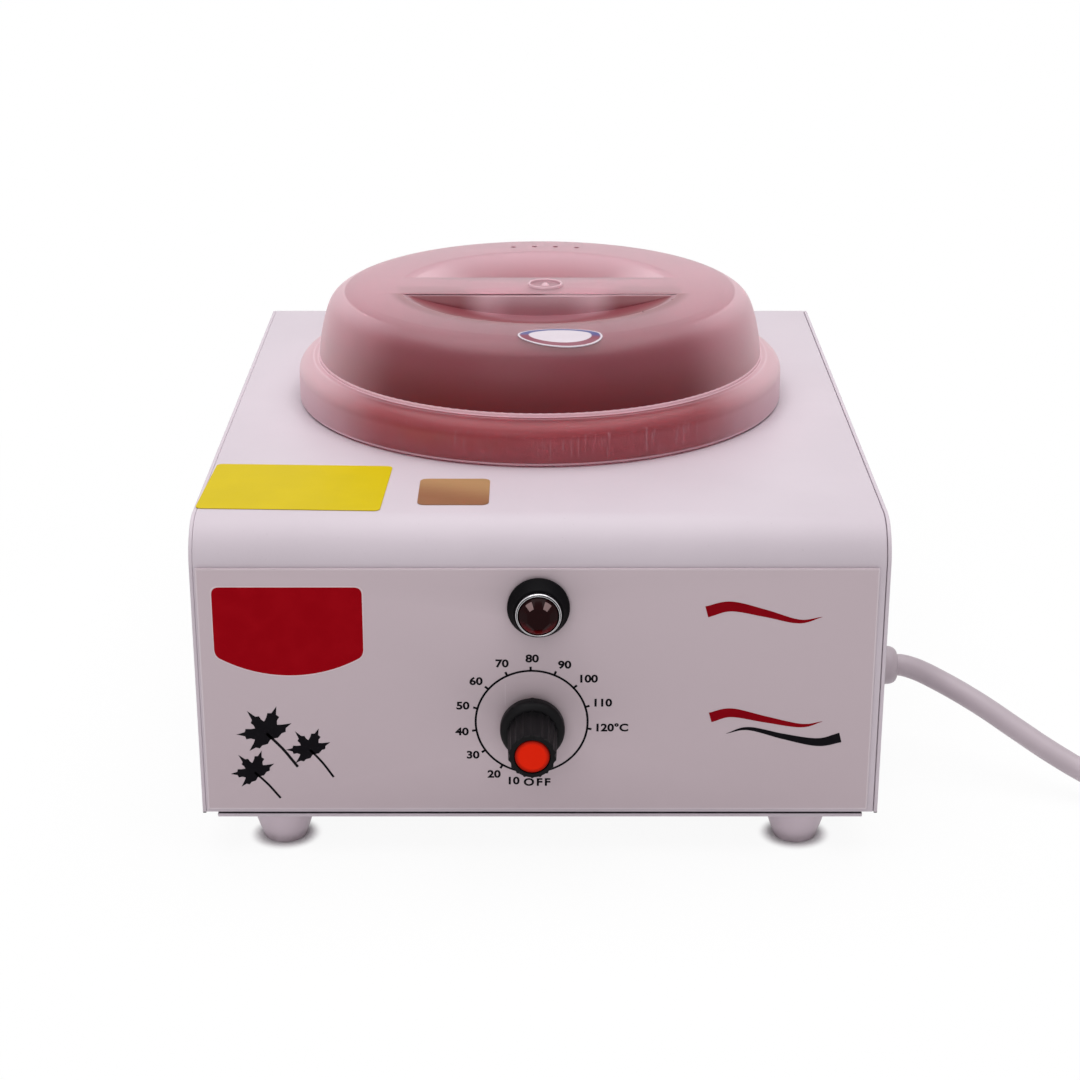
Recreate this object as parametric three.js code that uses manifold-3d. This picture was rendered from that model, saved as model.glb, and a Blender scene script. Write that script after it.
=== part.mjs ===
// A wax heater: a sheet-metal box with a red wax pot let into its top plate, a frosted lid,
// a thermostat knob and a jewelled lamp on the front, and a mains lead out of the right side.
// Millimetres, +Z up, front towards -Y. Heights are above the floor and depths run back from
// the cover's front face, until the last group brings the origin under the middle of the box.
import * as THREE from "three";
import { ConvexGeometry } from "three/addons/geometries/ConvexGeometry.js";
import { mergeVertices } from "three/addons/utils/BufferGeometryUtils.js";
import Module from "manifold-3d";

const wasm = await Module();
wasm.setup();

// Fits
const fitGap = 0.3; // between pieces that seat on each other
const glueLine = 0.1; // under a sticker or the front overlay
const overrun = 5; // how far a cutting tool runs past the wall it cuts
const weld = 0.001; // corners nearer than this are one corner

// Facets round a full turn
const roundFacets = 40;
const potFacets = 36;
const smallFacets = 16;
const screwFacets = 10;
const wayFacets = 8;
const wireFacets = 5;
const bendFacets = 3;

// Housing
const housingWidth = 228;
const backRoom = 17.9; // between the heater's ears and the back
const housingHeight = 103;
const bendRadius = 14;
const backBendRadius = 3.5;
const sheet = 1.2;
const flangeWidth = 16;
const baseGap = 0.8;
const baseInset = 5;
const baseCorner = 1.2;
const slotCount = 5;
const slotWidth = 3;
const slotLength = 36;
const slotPitch = 9;
const slotRowInset = 47;

// Front overlay
const overlayThickness = 1;
const overlayLeftMargin = 2;
const overlayRightMargin = 3.7;
const overlayHeight = 87.2;
const overlayLift = 1.5;

// Feet
const footHeight = 14;
const footTopRadius = 10.7;
const footBottomRadius = 7.5;
const footEdge = 0.8;
const footSideInset = 26;
const footInset = 15;

// Screws
const footScrew = { shank: 2, head: 3.5, headHeight: 2.4, length: 10, recess: 7 };
const plateScrew = { shank: 1.7, head: 3.3, headHeight: 1.8, length: 6 };
const earthScrew = { shank: 2, head: 3.8, headHeight: 2.2, length: 3 };
const baseScrewSideInset = 10.4;
const baseScrewInset = 42;
const backScrewHeight = 52;
const flangeInsetX = 8;

// Wax pot
const potCentreY = 148.3;
const potRadius = 78;
const potTaper = 3;
const potCorner = 9;
const potDepth = 70;
const potWall = 1.2;
const rimWidth = 10.3;
const rimHeight = 14.2;
const rimCorner = 5.5;
const rimInnerCorner = 2.5;

// Lid
const lidWall = 1.5;
const skirtClearance = 1.2;
const skirtLift = 0.6;
const shoulderRise = 5.4;
const shoulderWidth = 7.4;
const stepHeight = 0.9;
const domeInset = 0.4;
const lidHeight = 41;
// Radius and height of the dome's outline as shares of its radius and its height.
const domeShares = [
  [1, 0],
  [0.99, 0.28],
  [0.97, 0.58],
  [0.94, 0.82],
  [0.885, 0.95],
  [0.825, 1],
];
const recessInset = 30.2;
const recessDepth = 9;
const recessShares = [0, 0.3, 0.55, 0.8, 1];
const barWidth = 24;
const gateX = 2;
const gateRadius = 6.5;
const gateHeight = 1;
const gateWall = 0.9;
const gateConeRadius = 1.6;
const lidVentCount = 4;
const lidVentRadius = 0.9;
const lidVentPitch = 8.4;
const lidVentInset = 22.7;
const lidVentX = 2;

// Stickers
const stickerThickness = 0.2;
const yellowSticker = { inset: 31.8, y: 37.6, width: 61, depth: 44.4, corner: 2, turn: -0.04 };
const goldSticker = { inset: 85.2, y: 32.8, width: 23.7, depth: 25.5, corner: 2.5, turn: 0 };
const lidSticker = { x: 7, inset: 14.9, halfWidth: 14.8, halfDepth: 7.3 };

// Heater well, band heater and insulation
const wellClearance = 1.5;
const wellFloorGap = 0.5;
const wellWall = 1.5;
const wellCorner = 10;
const wellFlange = 9;
const heaterThickness = 4;
const heaterHeight = 40;
const heaterTopGap = 13;
const heaterSplit = 12;
const earLength = 13;
const earThickness = 1.6;
const clampHole = 2.4;
const clampShank = 2;
const clampHead = 3.6;
const clampHeadHeight = 2.6;
const blanketThickness = 6;
const blanketLap = 3;
const blanketSplit = 25;

// Thermostat
const knobX = -2.5;
const knobHeight = 32.9;
const thermostatWidth = 44;
const thermostatHeight = 34;
const thermostatDepth = 24;
const thermostatChamfer = 4;
const thermostatBack = 4;
const bushRadius = 5;
const bushReach = 5.6;
const bushBoreDepth = 14;
const tabWidth = 6;
const tabThickness = 0.8;
const tabLength = 8;
const tabSpacing = 12;
const nutFlats = 14;
const nutThickness = 2.5;
const nutHoleGap = 0.4;
const bulbRadius = 3;
const bulbLength = 60;
const bulbInsetY = 30;
const bulbX = -6;
const capillaryRadius = 1;
const clipThickness = 0.8;
const clipWidth = 12;
const clipWing = 6;
const capillaryStub = 1;
// Middle of the capillary's run as shares of the width, the space behind the tabs and the height.
const capillaryShares = [
  [-0.096, 0.146, 0.185],
  [-0.184, 2.191, 0.193],
  [-0.232, 3.629, 0.286],
];

// Knob, shaft and cap
const knobBack = 2.6;
const knobReach = 25;
const knobSkirtRadius = 10.75;
const knobSkirtDepth = 2.6;
const knobDomeRise = 2.6;
const knobGripBack = 8.4;
const knobGripFront = 7.9;
const knobHollowRadius = 8.9;
const knobHollowDepth = 4;
const fluteCount = 18;
const flutePoints = 3;
const fluteDepth = 0.55;
const knobFrontChamfer = 0.6;
const capRadius = 5.7;
const capDepth = 1.6;
const capDome = 0.25;
const pointerWidth = 1.4;
const pointerHeight = 0.9;
const shaftRadius = 3;
const shaftFlat = 2.3;
const shaftInside = 7;
const shaftInKnob = 11;

// Lamp
const lampX = -0.5;
const lampHeight = 75.6;
const lampBodyRadius = 6;
const lampBodyBack = 26;
const lampCollarBack = 10.25;
const lampCollarFront = 8.3;
const lampCollarEdge = 1.3;
const lampCollarDepth = 6;
const bezelRadius = 7.5;
const bezelDepth = 1.8;
const jewelRadius = 6.4;
const jewelGirdle = 1.7;
const jewelCrown = 2.6;
const jewelTableRadius = 3.9;
const jewelFacets = 8;
const lampNutRadius = 9;
const lampNutThickness = 2.6;
const lampTabSpacing = 8;

// Terminal block and earth screw
const blockInset = 41;
const blockY = 72;
const blockWidth = 22;
const blockDepth = 38;
const blockBaseHeight = 4;
const barrelDepth = 9;
const barrelWidth = 18;
const barrelHeight = 15;
const wayPitch = 12;
const wayHeight = 8.8;
const wayRadius = 1.6;
const earthInset = 26;
const earthY = 112;
const lugRadius = 5.4;
const lugThickness = 0.8;
const wireRadius = 1.2;
const stub = 3; // how far a wire runs straight out of its terminal
// Places of the three cores in the gland's end, as shares of the cord's radius.
const coreShares = { spread: 0.46, rise: 0.38, drop: 0.42 };
const heaterLeadDegrees = [-75, -65]; // round the heater, from the right side
// Wires beside the block: shares of the housing's width, the block's place and the height.
const liveShares = [[0.404, 0.91, 0.277]];
const neutralShares = [[0.404, 1.001, 0.244]];
const earthShares = [
  [0.412, 1.172, 0.252],
  [0.399, 1.361, 0.151],
];
const thermostatToBlockShares = [
  [0.184, 0.805, 0.227],
  [0.237, 0.835, 0.204],
];
const heaterToBlockShares = [
  [0.171, 1.055, 0.303],
  [0.219, 1.168, 0.214],
];
const lampToBlockShares = [
  [0.193, 0.931, 0.261],
  [0.237, 1, 0.207],
];
// Wires behind the front: shares of the width, the space between tabs and blanket and the height.
const thermostatLeadShares = [
  [0.057, 0.458, 0.387],
  [0.105, 0.754, 0.311],
];
const heaterLeftShares = [
  [0.075, 1.226, 0.403],
  [0, 0.807, 0.37],
  [-0.053, 0.458, 0.391],
];
const lampLeftShares = [
  [-0.022, 0.298, 0.723],
  [-0.022, 0.458, 0.597],
  [-0.017, 0.404, 0.479],
];
const lampRightShares = [
  [0.022, 0.298, 0.723],
  [0.057, 0.549, 0.571],
  [0.118, 0.861, 0.403],
];

// Mains lead
const cordRadius = 4;
const glandY = 72.5;
const glandHeight = 21.9;
const glandFlangeRadius = 7.9;
const glandReach = 13.7;
const glandNeckRadius = 5.9;
const glandInside = 11;
const glandNutFlats = 16;
const glandNutThickness = 4;
const cordSides = 10;
const cordSteps = 24;
const cordLift = 0.3;
const coilX = 150;
const coilY = -9.5;
const coilRadius = 56;
const coilEntryDegrees = -122;
const coilTurns = 5.34;
const coilSides = 6;
const coilStepsPerTurn = 24;
const turnGap = 0.5;
const leastTurnGap = 0.4;

// Plug
const plugLength = 60;
const plugWidth = 38;
const plugHeight = 39;
const reliefRadius = 5.4;
const reliefLength = 26;
const plugFacets = 24;
const pinSpacing = 19;
const pinInset = 9.8;
const earthPinRise = 22;
const pinRadius = 2.5;
const pinLength = 15;
const earthPinRadius = 3.5;
const earthPinLength = 20;
const pinTip = 0.8;
const collarShare = 1.4; // widest part of the plug's sleeve, of its end's radius
// Rings of the plug's body: half width, bottom, top and flatness of side as shares.
const shoulderShares = [0.7, 0.9, 0.55, 0.5];
const gripShares = [0.95, 1, 0.93, 0.7];
const faceShares = [1, 1, 1, 0.8];

// Places worked out from the sizes above
const quarter = Math.PI / 2;
const sideX = housingWidth / 2;
const footX = sideX - footSideInset;
const baseScrewX = sideX - baseScrewSideInset;
const blockX = sideX - blockInset;
const earthX = sideX - earthInset;
const baseTop = footHeight + sheet;
const coverBottom = baseTop + baseGap;
const housingTop = coverBottom + housingHeight;
const panelBottom = baseTop + fitGap;
const coverEnd = sideX - sheet - fitGap;
const overlayFront = glueLine + overlayThickness;
const knobZ = coverBottom + knobHeight;
const lampZ = coverBottom + lampHeight;
const potBottomRadius = potRadius - potTaper;
const rimRadius = potRadius + rimWidth;
const skirtRadius = rimRadius + skirtClearance + lidWall;
const stepRadius = skirtRadius - shoulderWidth;
const domeRadius = stepRadius - domeInset;
const recessRadius = domeRadius - recessInset;
const lidVentCircle = domeRadius - lidVentInset;
const wellRadius = potRadius + wellClearance + wellWall;
const wellBottom = housingTop - potDepth - wellFloorGap - wellWall;
const rimTop = housingTop + rimHeight;
const lidSeat = rimTop + fitGap;
const heaterBottom = housingTop - heaterTopGap - heaterHeight;
const heaterOuter = wellRadius + fitGap + heaterThickness;
const housingDepth = potCentreY + heaterOuter + earLength + backRoom;
const glandZ = coverBottom + glandHeight;
const tabEnd = sheet + thermostatBack + thermostatDepth + tabLength;
const blanketFront = potCentreY - heaterOuter - fitGap - blanketThickness;
const backReach = housingDepth + fitGap + plateScrew.headHeight;
const frameShiftY = (knobReach - backReach) / 2;

// Finishes
const whitePaint = finish(0xd8ccd4, 0.4);
const whitePlastic = finish(0xb6a4ae, 0.5);
const overlayPlastic = finish(0xb9abb0, 0.3);
const redEnamel = finish(0xb4232c, 0.3);
const frosted = finish(0xd69aa6, 0.45);
const blackPlastic = finish(0x18171a, 0.4);
const orangePlastic = finish(0xd52305, 0.35);
const jewelPlastic = finish(0x5a0a10, 0.1);
const chrome = finish(0xc8c8ca, 0.15, 1);
const steel = finish(0x9c9da0, 0.35, 1);
const aluminium = finish(0xb9bbbe, 0.4, 1);
const brass = finish(0xb08d45, 0.3, 1);
const copper = finish(0xa8663f, 0.35, 1);
const mica = finish(0x8d8676, 0.6);
const glassWool = finish(0xd9cf9a, 0.95);
const ceramic = finish(0xe7e2d4, 0.5);
const yellowPaper = finish(0xddc82d, 0.45);
const goldFoil = finish(0xa97f5b, 0.3, 1);
const whitePaper = finish(0xe8dce4, 0.4);
const brownSheath = finish(0x5b3420, 0.5);
const blueSheath = finish(0x2a4f8f, 0.5);
const greenSheath = finish(0x3d7a35, 0.5);
const redSheath = finish(0xa02626, 0.5);

function finish(color, roughness, metalness = 0) {
  return new THREE.MeshStandardMaterial({ color, roughness, metalness });
}

// Solids for cutting and joining
function solid(geometry) {
  const bare = geometry.clone();
  bare.deleteAttribute("normal");
  bare.deleteAttribute("uv");
  const merged = mergeVertices(bare, weld);
  const corners = merged.index.array;
  const triVerts = [];
  for (let i = 0; i < corners.length; i += 3) {
    const [a, b, c] = corners.slice(i, i + 3);
    if (a !== b && b !== c && c !== a) triVerts.push(a, b, c);
  }
  const vertProperties = merged.attributes.position.array;
  const mesh = new wasm.Mesh({ numProp: 3, vertProperties, triVerts: new Uint32Array(triVerts) });
  return new wasm.Manifold(mesh);
}

function surface(manifold) {
  const mesh = manifold.getMesh();
  const geometry = new THREE.BufferGeometry();
  geometry.setAttribute("position", new THREE.BufferAttribute(mesh.vertProperties, 3));
  geometry.setIndex(new THREE.BufferAttribute(mesh.triVerts, 1));
  const flat = geometry.toNonIndexed();
  flat.computeVertexNormals();
  return flat;
}

function cut(geometry, ...tools) {
  return surface(tools.reduce((left, tool) => left.subtract(solid(tool)), solid(geometry)));
}

function join(geometry, ...others) {
  return surface(others.reduce((whole, other) => whole.add(solid(other)), solid(geometry)));
}

function common(geometry, other) {
  return surface(solid(geometry).intersect(solid(other)));
}

// Shapes
function turned(profile, facets = smallFacets) {
  return new THREE.LatheGeometry(
    profile.map(([radius, along]) => new THREE.Vector2(radius, along)),
    facets,
  );
}

function rod(radius, from, to, facets = smallFacets) {
  return turned([[0, from], [radius, from], [radius, to], [0, to]], facets);
}

function outline(points) {
  return new THREE.Shape(points.map(([x, y]) => new THREE.Vector2(x, y)));
}

function prism(shape, from, to, facets = bendFacets) {
  const geometry = new THREE.ExtrudeGeometry(shape, {
    depth: to - from,
    bevelEnabled: false,
    curveSegments: facets,
  });
  return geometry.translate(0, 0, from);
}

function block(width, depth, height, x, y, z) {
  return new THREE.BoxGeometry(width, depth, height).translate(x, y, z);
}

function rectangle(width, depth, x, y) {
  const [w, d] = [width / 2, depth / 2];
  return outline([[x - w, y - d], [x + w, y - d], [x + w, y + d], [x - w, y + d]]);
}

function roundedRectangle(width, depth, corner) {
  const [x, y] = [width / 2 - corner, depth / 2 - corner];
  const shape = new THREE.Shape();
  shape.absarc(x, y, corner, 0, quarter);
  shape.absarc(-x, y, corner, quarter, 2 * quarter);
  shape.absarc(-x, -y, corner, 2 * quarter, 3 * quarter);
  shape.absarc(x, -y, corner, 3 * quarter, 4 * quarter);
  return shape;
}

function roundHole(radius, x = 0, y = 0) {
  return new THREE.Path().absarc(x, y, radius, 0, 4 * quarter);
}

function hexagonNut(flats, holeRadius, from, to) {
  const radius = flats / 2 / Math.cos(quarter / 3);
  const corners = [0, 1, 2, 3, 4, 5].map((i) => (i * quarter * 2) / 3);
  const shape = outline(corners.map((a) => [radius * Math.cos(a), radius * Math.sin(a)]));
  shape.holes.push(roundHole(holeRadius));
  return prism(shape, from, to, smallFacets);
}

// Points of an elliptical quarter bend, from one angle to another, both ends included.
function bend(centreX, centreY, radiusX, radiusY, from, to) {
  const count = bendFacets;
  return Array.from({ length: count + 1 }, (_, i) => {
    const angle = from + ((to - from) * i) / count;
    return [centreX + radiusX * Math.cos(angle), centreY + radiusY * Math.sin(angle)];
  });
}

function tube(points, radius, sides, steps) {
  const section = new THREE.Shape();
  for (let i = 0; i < sides; i++) {
    const angle = (4 * quarter * i) / sides;
    const [x, y] = [radius * Math.cos(angle), radius * Math.sin(angle)];
    if (i) section.lineTo(x, y);
    else section.moveTo(x, y);
  }
  const path = new THREE.CatmullRomCurve3(points.map((p) => new THREE.Vector3(...p)));
  return new THREE.ExtrudeGeometry(section, { steps, extrudePath: path, bevelEnabled: false });
}

// Ways a shape faces: turned pieces grow along their own Y, prisms along their own Z.
const up = (geometry) => geometry.rotateX(quarter);
const forward = (geometry) => geometry.rotateX(2 * quarter);
const toRight = (geometry) => geometry.rotateZ(-quarter);
const prismForward = (geometry) => geometry.rotateX(quarter);
const prismToRight = (geometry) => geometry.rotateX(quarter).rotateZ(quarter);

// The model
const model = new THREE.Group();
const housing = group(model);
const pot = group(housing, 0, potCentreY);
const lid = group(pot);
const knob = group(housing, knobX, 0, knobZ);
const lamp = group(housing, lampX, 0, lampZ);
const lead = group(housing, sideX, glandY);

function group(parent, x = 0, y = 0, z = 0) {
  const made = new THREE.Group();
  made.position.set(x, y, z);
  parent.add(made);
  return made;
}

function piece(parent, name, geometry, material, x = 0, y = 0, z = 0) {
  const mesh = new THREE.Mesh(geometry, material);
  mesh.name = name;
  mesh.position.set(x, y, z);
  parent.add(mesh);
  return mesh;
}

// Housing: the outline seen from the side, drawn in from the cover's outside by an inset
function housingOutline(inset, bottom) {
  const [radius, backRadius] = [bendRadius - inset, backBendRadius - inset];
  const [front, back, top] = [inset, housingDepth - inset, housingTop - inset];
  const shape = new THREE.Shape();
  shape.moveTo(front, bottom);
  shape.lineTo(back, bottom);
  shape.absarc(back - backRadius, top - backRadius, backRadius, 0, quarter);
  shape.absarc(front + radius, top - radius, radius, quarter, 2 * quarter);
  return shape;
}

function housingPrism(inset, bottom, from, to) {
  return prismToRight(prism(housingOutline(inset, bottom), from, to));
}

function addCover() {
  const shell = housingPrism(0, coverBottom, -coverEnd, coverEnd);
  const inside = housingPrism(sheet, coverBottom - overrun, -coverEnd - overrun, coverEnd + overrun);
  const potHole = up(rod(potRadius + wellClearance, 0, housingTop + overrun, roundFacets));
  const bushHole = forward(rod(bushRadius + fitGap, -overrun, overrun));
  const lampHole = forward(rod(lampBodyRadius + fitGap, -overrun, overrun));
  const screwHoles = [-1, 1].map((side) =>
    forward(rod(plateScrew.shank + fitGap, -overrun, overrun, screwFacets)).translate(
      side * (coverEnd - flangeInsetX),
      housingDepth,
      coverBottom + backScrewHeight,
    ),
  );
  const cover = cut(
    shell,
    inside,
    potHole.translate(0, potCentreY, 0),
    bushHole.translate(knobX, 0, knobZ),
    lampHole.translate(lampX, 0, lampZ),
    ...screwHoles,
  );
  piece(housing, "housing_cover", cover, whitePaint);
}

function addSidePanel(name, side) {
  const plate = housingPrism(0, panelBottom, 0, sheet);
  const tray = cut(
    housingPrism(sheet + fitGap, panelBottom, -flangeWidth, sheet / 2),
    housingPrism(2 * sheet + fitGap, panelBottom + sheet, -flangeWidth - overrun, 0),
  );
  const baseHoles = [baseScrewInset, housingDepth - baseScrewInset].map((y) =>
    up(rod(plateScrew.shank + fitGap, 0, panelBottom + overrun, screwFacets)).translate(
      sheet - baseScrewSideInset,
      y,
      0,
    ),
  );
  const backHole = forward(
    rod(plateScrew.shank + fitGap, -overrun, overrun, screwFacets),
  ).translate(
    -fitGap - flangeInsetX,
    housingDepth,
    coverBottom + backScrewHeight,
  );
  const glandHole = toRight(rod(glandNeckRadius + fitGap, -overrun, overrun)).translate(
    0,
    glandY,
    glandZ,
  );
  const holes = side > 0 ? [...baseHoles, backHole, glandHole] : [...baseHoles, backHole];
  const panel = cut(join(plate, tray), ...holes);
  if (side < 0) mirror(panel);
  piece(housing, name, panel, whitePaint, side * (sideX - sheet));
}

// Turns a geometry into its left-hand twin and keeps its faces pointing out.
function mirror(geometry) {
  const position = geometry.getAttribute("position");
  for (let i = 0; i < position.count; i += 3) {
    const corners = [0, 1, 2].map((k) =>
      new THREE.Vector3().fromBufferAttribute(position, i + k),
    );
    [corners[0], corners[2], corners[1]].forEach((corner, k) =>
      position.setXYZ(i + k, -corner.x, corner.y, corner.z),
    );
  }
  geometry.computeVertexNormals();
}

function cornerPlaces(x, inset) {
  return [
    ["front_left", -x, inset],
    ["front_right", x, inset],
    ["rear_left", -x, housingDepth - inset],
    ["rear_right", x, housingDepth - inset],
  ];
}

function addBasePlate() {
  const width = housingWidth - 2 * baseInset;
  const depth = housingDepth - 2 * fitGap;
  const shape = roundedRectangle(width, depth, baseCorner);
  const plate = prism(shape, 0, sheet, 1).translate(0, housingDepth / 2, 0);
  const slots = [];
  for (let i = 0; i < slotCount; i++) {
    const x = (i - (slotCount - 1) / 2) * slotPitch;
    for (const y of [slotRowInset, housingDepth - slotRowInset])
      slots.push(block(slotWidth, slotLength, 2 * overrun, x, y, 0));
  }
  const holes = [
    ...cornerPlaces(footX, footInset).map(([, x, y]) => [x, y, footScrew.shank]),
    ...cornerPlaces(baseScrewX, baseScrewInset).map(([, x, y]) => [x, y, plateScrew.shank]),
    [earthX, earthY, earthScrew.shank],
  ].map(([x, y, shank]) =>
    up(rod(shank + fitGap, -overrun, overrun, screwFacets)).translate(x, y, 0),
  );
  piece(housing, "base_plate", cut(plate, ...slots, ...holes), whitePaint, 0, 0, footHeight);
}

function addOverlay() {
  const middleX = (overlayLeftMargin - overlayRightMargin) / 2;
  const middleZ = coverBottom + overlayLift + overlayHeight / 2;
  const width = housingWidth - overlayLeftMargin - overlayRightMargin;
  const shape = rectangle(width, overlayHeight, middleX, middleZ);
  shape.holes.push(roundHole(bushRadius + fitGap, knobX, knobZ));
  shape.holes.push(roundHole(lampBodyRadius + fitGap, lampX, lampZ));
  const overlay = prismForward(prism(shape, glueLine, overlayFront, smallFacets));
  piece(housing, "front_overlay", overlay, overlayPlastic);
}

// Feet and fasteners
function screw(sizes) {
  return turned(
    [
      [0, -sizes.headHeight],
      [sizes.head, -sizes.headHeight],
      [sizes.head, 0],
      [sizes.shank, 0],
      [sizes.shank, sizes.length],
      [0, sizes.length],
    ],
    screwFacets,
  );
}

function addFeet() {
  const hole = footScrew.shank + fitGap;
  const recess = footScrew.head + fitGap;
  const top = footHeight - fitGap;
  const foot = [
    [recess, 0],
    [footBottomRadius - footEdge, 0],
    [footBottomRadius, footEdge],
    [(footTopRadius + footBottomRadius) / 2 + footEdge / 2, top / 2],
    [footTopRadius, top],
    [hole, top],
    [hole, footScrew.recess],
    [recess, footScrew.recess],
    [recess, 0],
  ];
  for (const [place, x, y] of cornerPlaces(footX, footInset)) {
    piece(housing, "foot_" + place, up(turned(foot)), whitePlastic, x, y);
    const z = footScrew.recess - fitGap;
    piece(housing, "foot_screw_" + place, up(screw(footScrew)), steel, x, y, z);
  }
}

function addPlateScrews() {
  for (const [place, x, y] of cornerPlaces(baseScrewX, baseScrewInset)) {
    const z = footHeight - fitGap;
    piece(housing, "base_screw_" + place, up(screw(plateScrew)), steel, x, y, z);
  }
  for (const [name, side] of [["back_screw_left", -1], ["back_screw_right", 1]]) {
    const x = side * (coverEnd - flangeInsetX);
    const z = coverBottom + backScrewHeight;
    piece(housing, name, forward(screw(plateScrew)), steel, x, housingDepth + fitGap, z);
  }
}

function addStickers() {
  for (const [name, sizes, material] of [
    ["yellow_sticker", yellowSticker, yellowPaper],
    ["gold_sticker", goldSticker, goldFoil],
  ]) {
    const shape = roundedRectangle(sizes.width, sizes.depth, sizes.corner);
    const sticker = prism(shape, 0, stickerThickness).rotateZ(sizes.turn);
    piece(housing, name, sticker, material, sizes.inset - sideX, sizes.y, housingTop + glueLine);
  }
}

// Wax pot: a cup whose rim is turned down over the top plate
function addPot() {
  const under = rimTop - potWall;
  const bottom = housingTop - potDepth;
  const floor = bottom + potWall;
  const lip = housingTop + fitGap;
  const innerRim = potRadius - potWall + rimInnerCorner;
  const profile = [
    [0, bottom],
    ...bend(potBottomRadius - potCorner, bottom + potCorner, potCorner, potCorner, -quarter, 0),
    [potRadius, housingTop],
    ...bend(potRadius + rimInnerCorner, under - rimInnerCorner, rimInnerCorner, rimInnerCorner,
      2 * quarter, quarter),
    ...bend(rimRadius - rimCorner, rimTop - rimCorner, rimCorner - potWall, rimCorner - potWall,
      quarter, 0),
    [rimRadius - potWall, lip],
    [rimRadius, lip],
    ...bend(rimRadius - rimCorner, rimTop - rimCorner, rimCorner, rimCorner, 0, quarter),
    ...bend(innerRim, rimTop - rimInnerCorner, rimInnerCorner, rimInnerCorner, quarter, 2 * quarter),
    [potRadius - potWall, housingTop],
    ...bend(potBottomRadius - potCorner, floor + potCorner - potWall, potCorner - potWall,
      potCorner - potWall, 0, -quarter),
    [0, floor],
  ];
  piece(pot, "wax_pot", up(turned(profile, potFacets)), redEnamel);
}

// Lid: the dome's outline, drawn out or in by an offset, from its foot to the axis
function domeOutline(foot, offset) {
  const rise = housingTop + lidHeight + offset - foot;
  return [
    ...domeShares.map(([across, along]) => [(domeRadius + offset) * across, foot + rise * along]),
    [0, foot + rise],
  ];
}

function lidOutside() {
  const bottom = housingTop + skirtLift;
  const shoulder = lidSeat + lidWall;
  return turned(
    [
      [0, bottom],
      [skirtRadius, bottom],
      ...bend(stepRadius, shoulder - shoulderRise, skirtRadius - stepRadius, shoulderRise,
        0, quarter),
      [stepRadius, shoulder + stepHeight],
      ...domeOutline(shoulder + stepHeight, 0),
    ],
    roundFacets,
  );
}

function lidInside() {
  const bottom = housingTop + skirtLift - overrun;
  const inner = domeRadius - lidWall;
  return turned(
    [
      [0, bottom],
      [skirtRadius - lidWall, bottom],
      ...bend(inner, lidSeat - shoulderRise, skirtRadius - domeRadius, shoulderRise, 0, quarter),
      ...domeOutline(lidSeat, -lidWall).slice(1),
    ],
    roundFacets,
  );
}

// Two shallow bowls each side of the grip bar; sunk by the wall for the lid's underside.
function fingerRecess(sink) {
  const top = housingTop + lidHeight;
  const bowl = recessShares.map((share) => [
    recessRadius * share,
    top - sink - recessDepth * (1 - share * share),
  ]);
  const dish = up(turned([...bowl, [recessRadius, top + overrun], [0, top + overrun]], potFacets));
  const bar = block(4 * recessRadius, barWidth - 2 * sink, 4 * recessDepth, 0, 0, top);
  return cut(dish, bar);
}

function gateMark() {
  const top = housingTop + lidHeight;
  const inner = gateRadius - gateWall;
  return up(
    turned([
      [0, top - lidWall / 2],
      [gateRadius, top - lidWall / 2],
      [gateRadius, top + gateHeight],
      [inner, top + gateHeight],
      [inner, top + gateHeight / 4],
      [gateConeRadius, top + gateHeight / 4],
      [0, top + gateHeight + gateHeight / 4],
    ]),
  ).translate(gateX, 0, 0);
}

function lidVents() {
  return Array.from({ length: lidVentCount }, (_, i) => {
    const x = lidVentX + (i - (lidVentCount - 1) / 2) * lidVentPitch;
    const y = Math.sqrt(lidVentCircle ** 2 - x ** 2);
    const drill = rod(lidVentRadius, housingTop, housingTop + lidHeight + overrun, wayFacets);
    return up(drill).translate(x, y, 0);
  });
}

function addLid() {
  const hollow = cut(up(lidInside()), fingerRecess(lidWall));
  const dome = cut(up(lidOutside()), fingerRecess(0), hollow);
  piece(lid, "lid", cut(join(dome, gateMark()), ...lidVents()), frosted);
}

// An oval sticker that follows the front of the dome
function addLidSticker() {
  const foot = lidSeat + lidWall + stepHeight;
  const layer = (offset) => {
    const profile = domeOutline(foot, offset);
    return up(turned([[0, foot], ...profile], roundFacets));
  };
  const oval = new THREE.Shape();
  oval.absellipse(0, 0, lidSticker.halfWidth, lidSticker.halfDepth, 0, 4 * quarter);
  const column = prism(oval, foot, housingTop + lidHeight + overrun, smallFacets);
  const skin = cut(layer(glueLine + stickerThickness), layer(glueLine));
  const patch = common(skin, column.translate(lidSticker.x, lidSticker.inset - domeRadius, 0));
  piece(lid, "lid_sticker", patch, whitePaper);
}

// Heater well, its band heater and the insulation round it
function addWell() {
  const top = housingTop - sheet - fitGap;
  const inner = wellRadius - wellWall;
  const profile = [
    [0, wellBottom],
    ...bend(wellRadius - wellCorner, wellBottom + wellCorner, wellCorner, wellCorner, -quarter, 0),
    [wellRadius, top - wellWall],
    [wellRadius + wellFlange, top - wellWall],
    [wellRadius + wellFlange, top],
    [inner, top],
    ...bend(inner - wellCorner + wellWall, wellBottom + wellCorner, wellCorner - wellWall,
      wellCorner - wellWall, 0, -quarter),
    [0, wellBottom + wellWall],
  ];
  piece(housing, "heater_well", up(turned(profile, potFacets)), aluminium, 0, potCentreY);
}

// A ring that is open at the back
function splitRing(inner, outer, split) {
  const [innerOpen, outerOpen] = [inner, outer].map((radius) => Math.asin(split / 2 / radius));
  const shape = new THREE.Shape();
  shape.absarc(0, 0, outer, quarter - outerOpen, quarter + outerOpen - 4 * quarter, true);
  shape.absarc(0, 0, inner, quarter + innerOpen - 4 * quarter, quarter - innerOpen, false);
  return shape;
}

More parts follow.
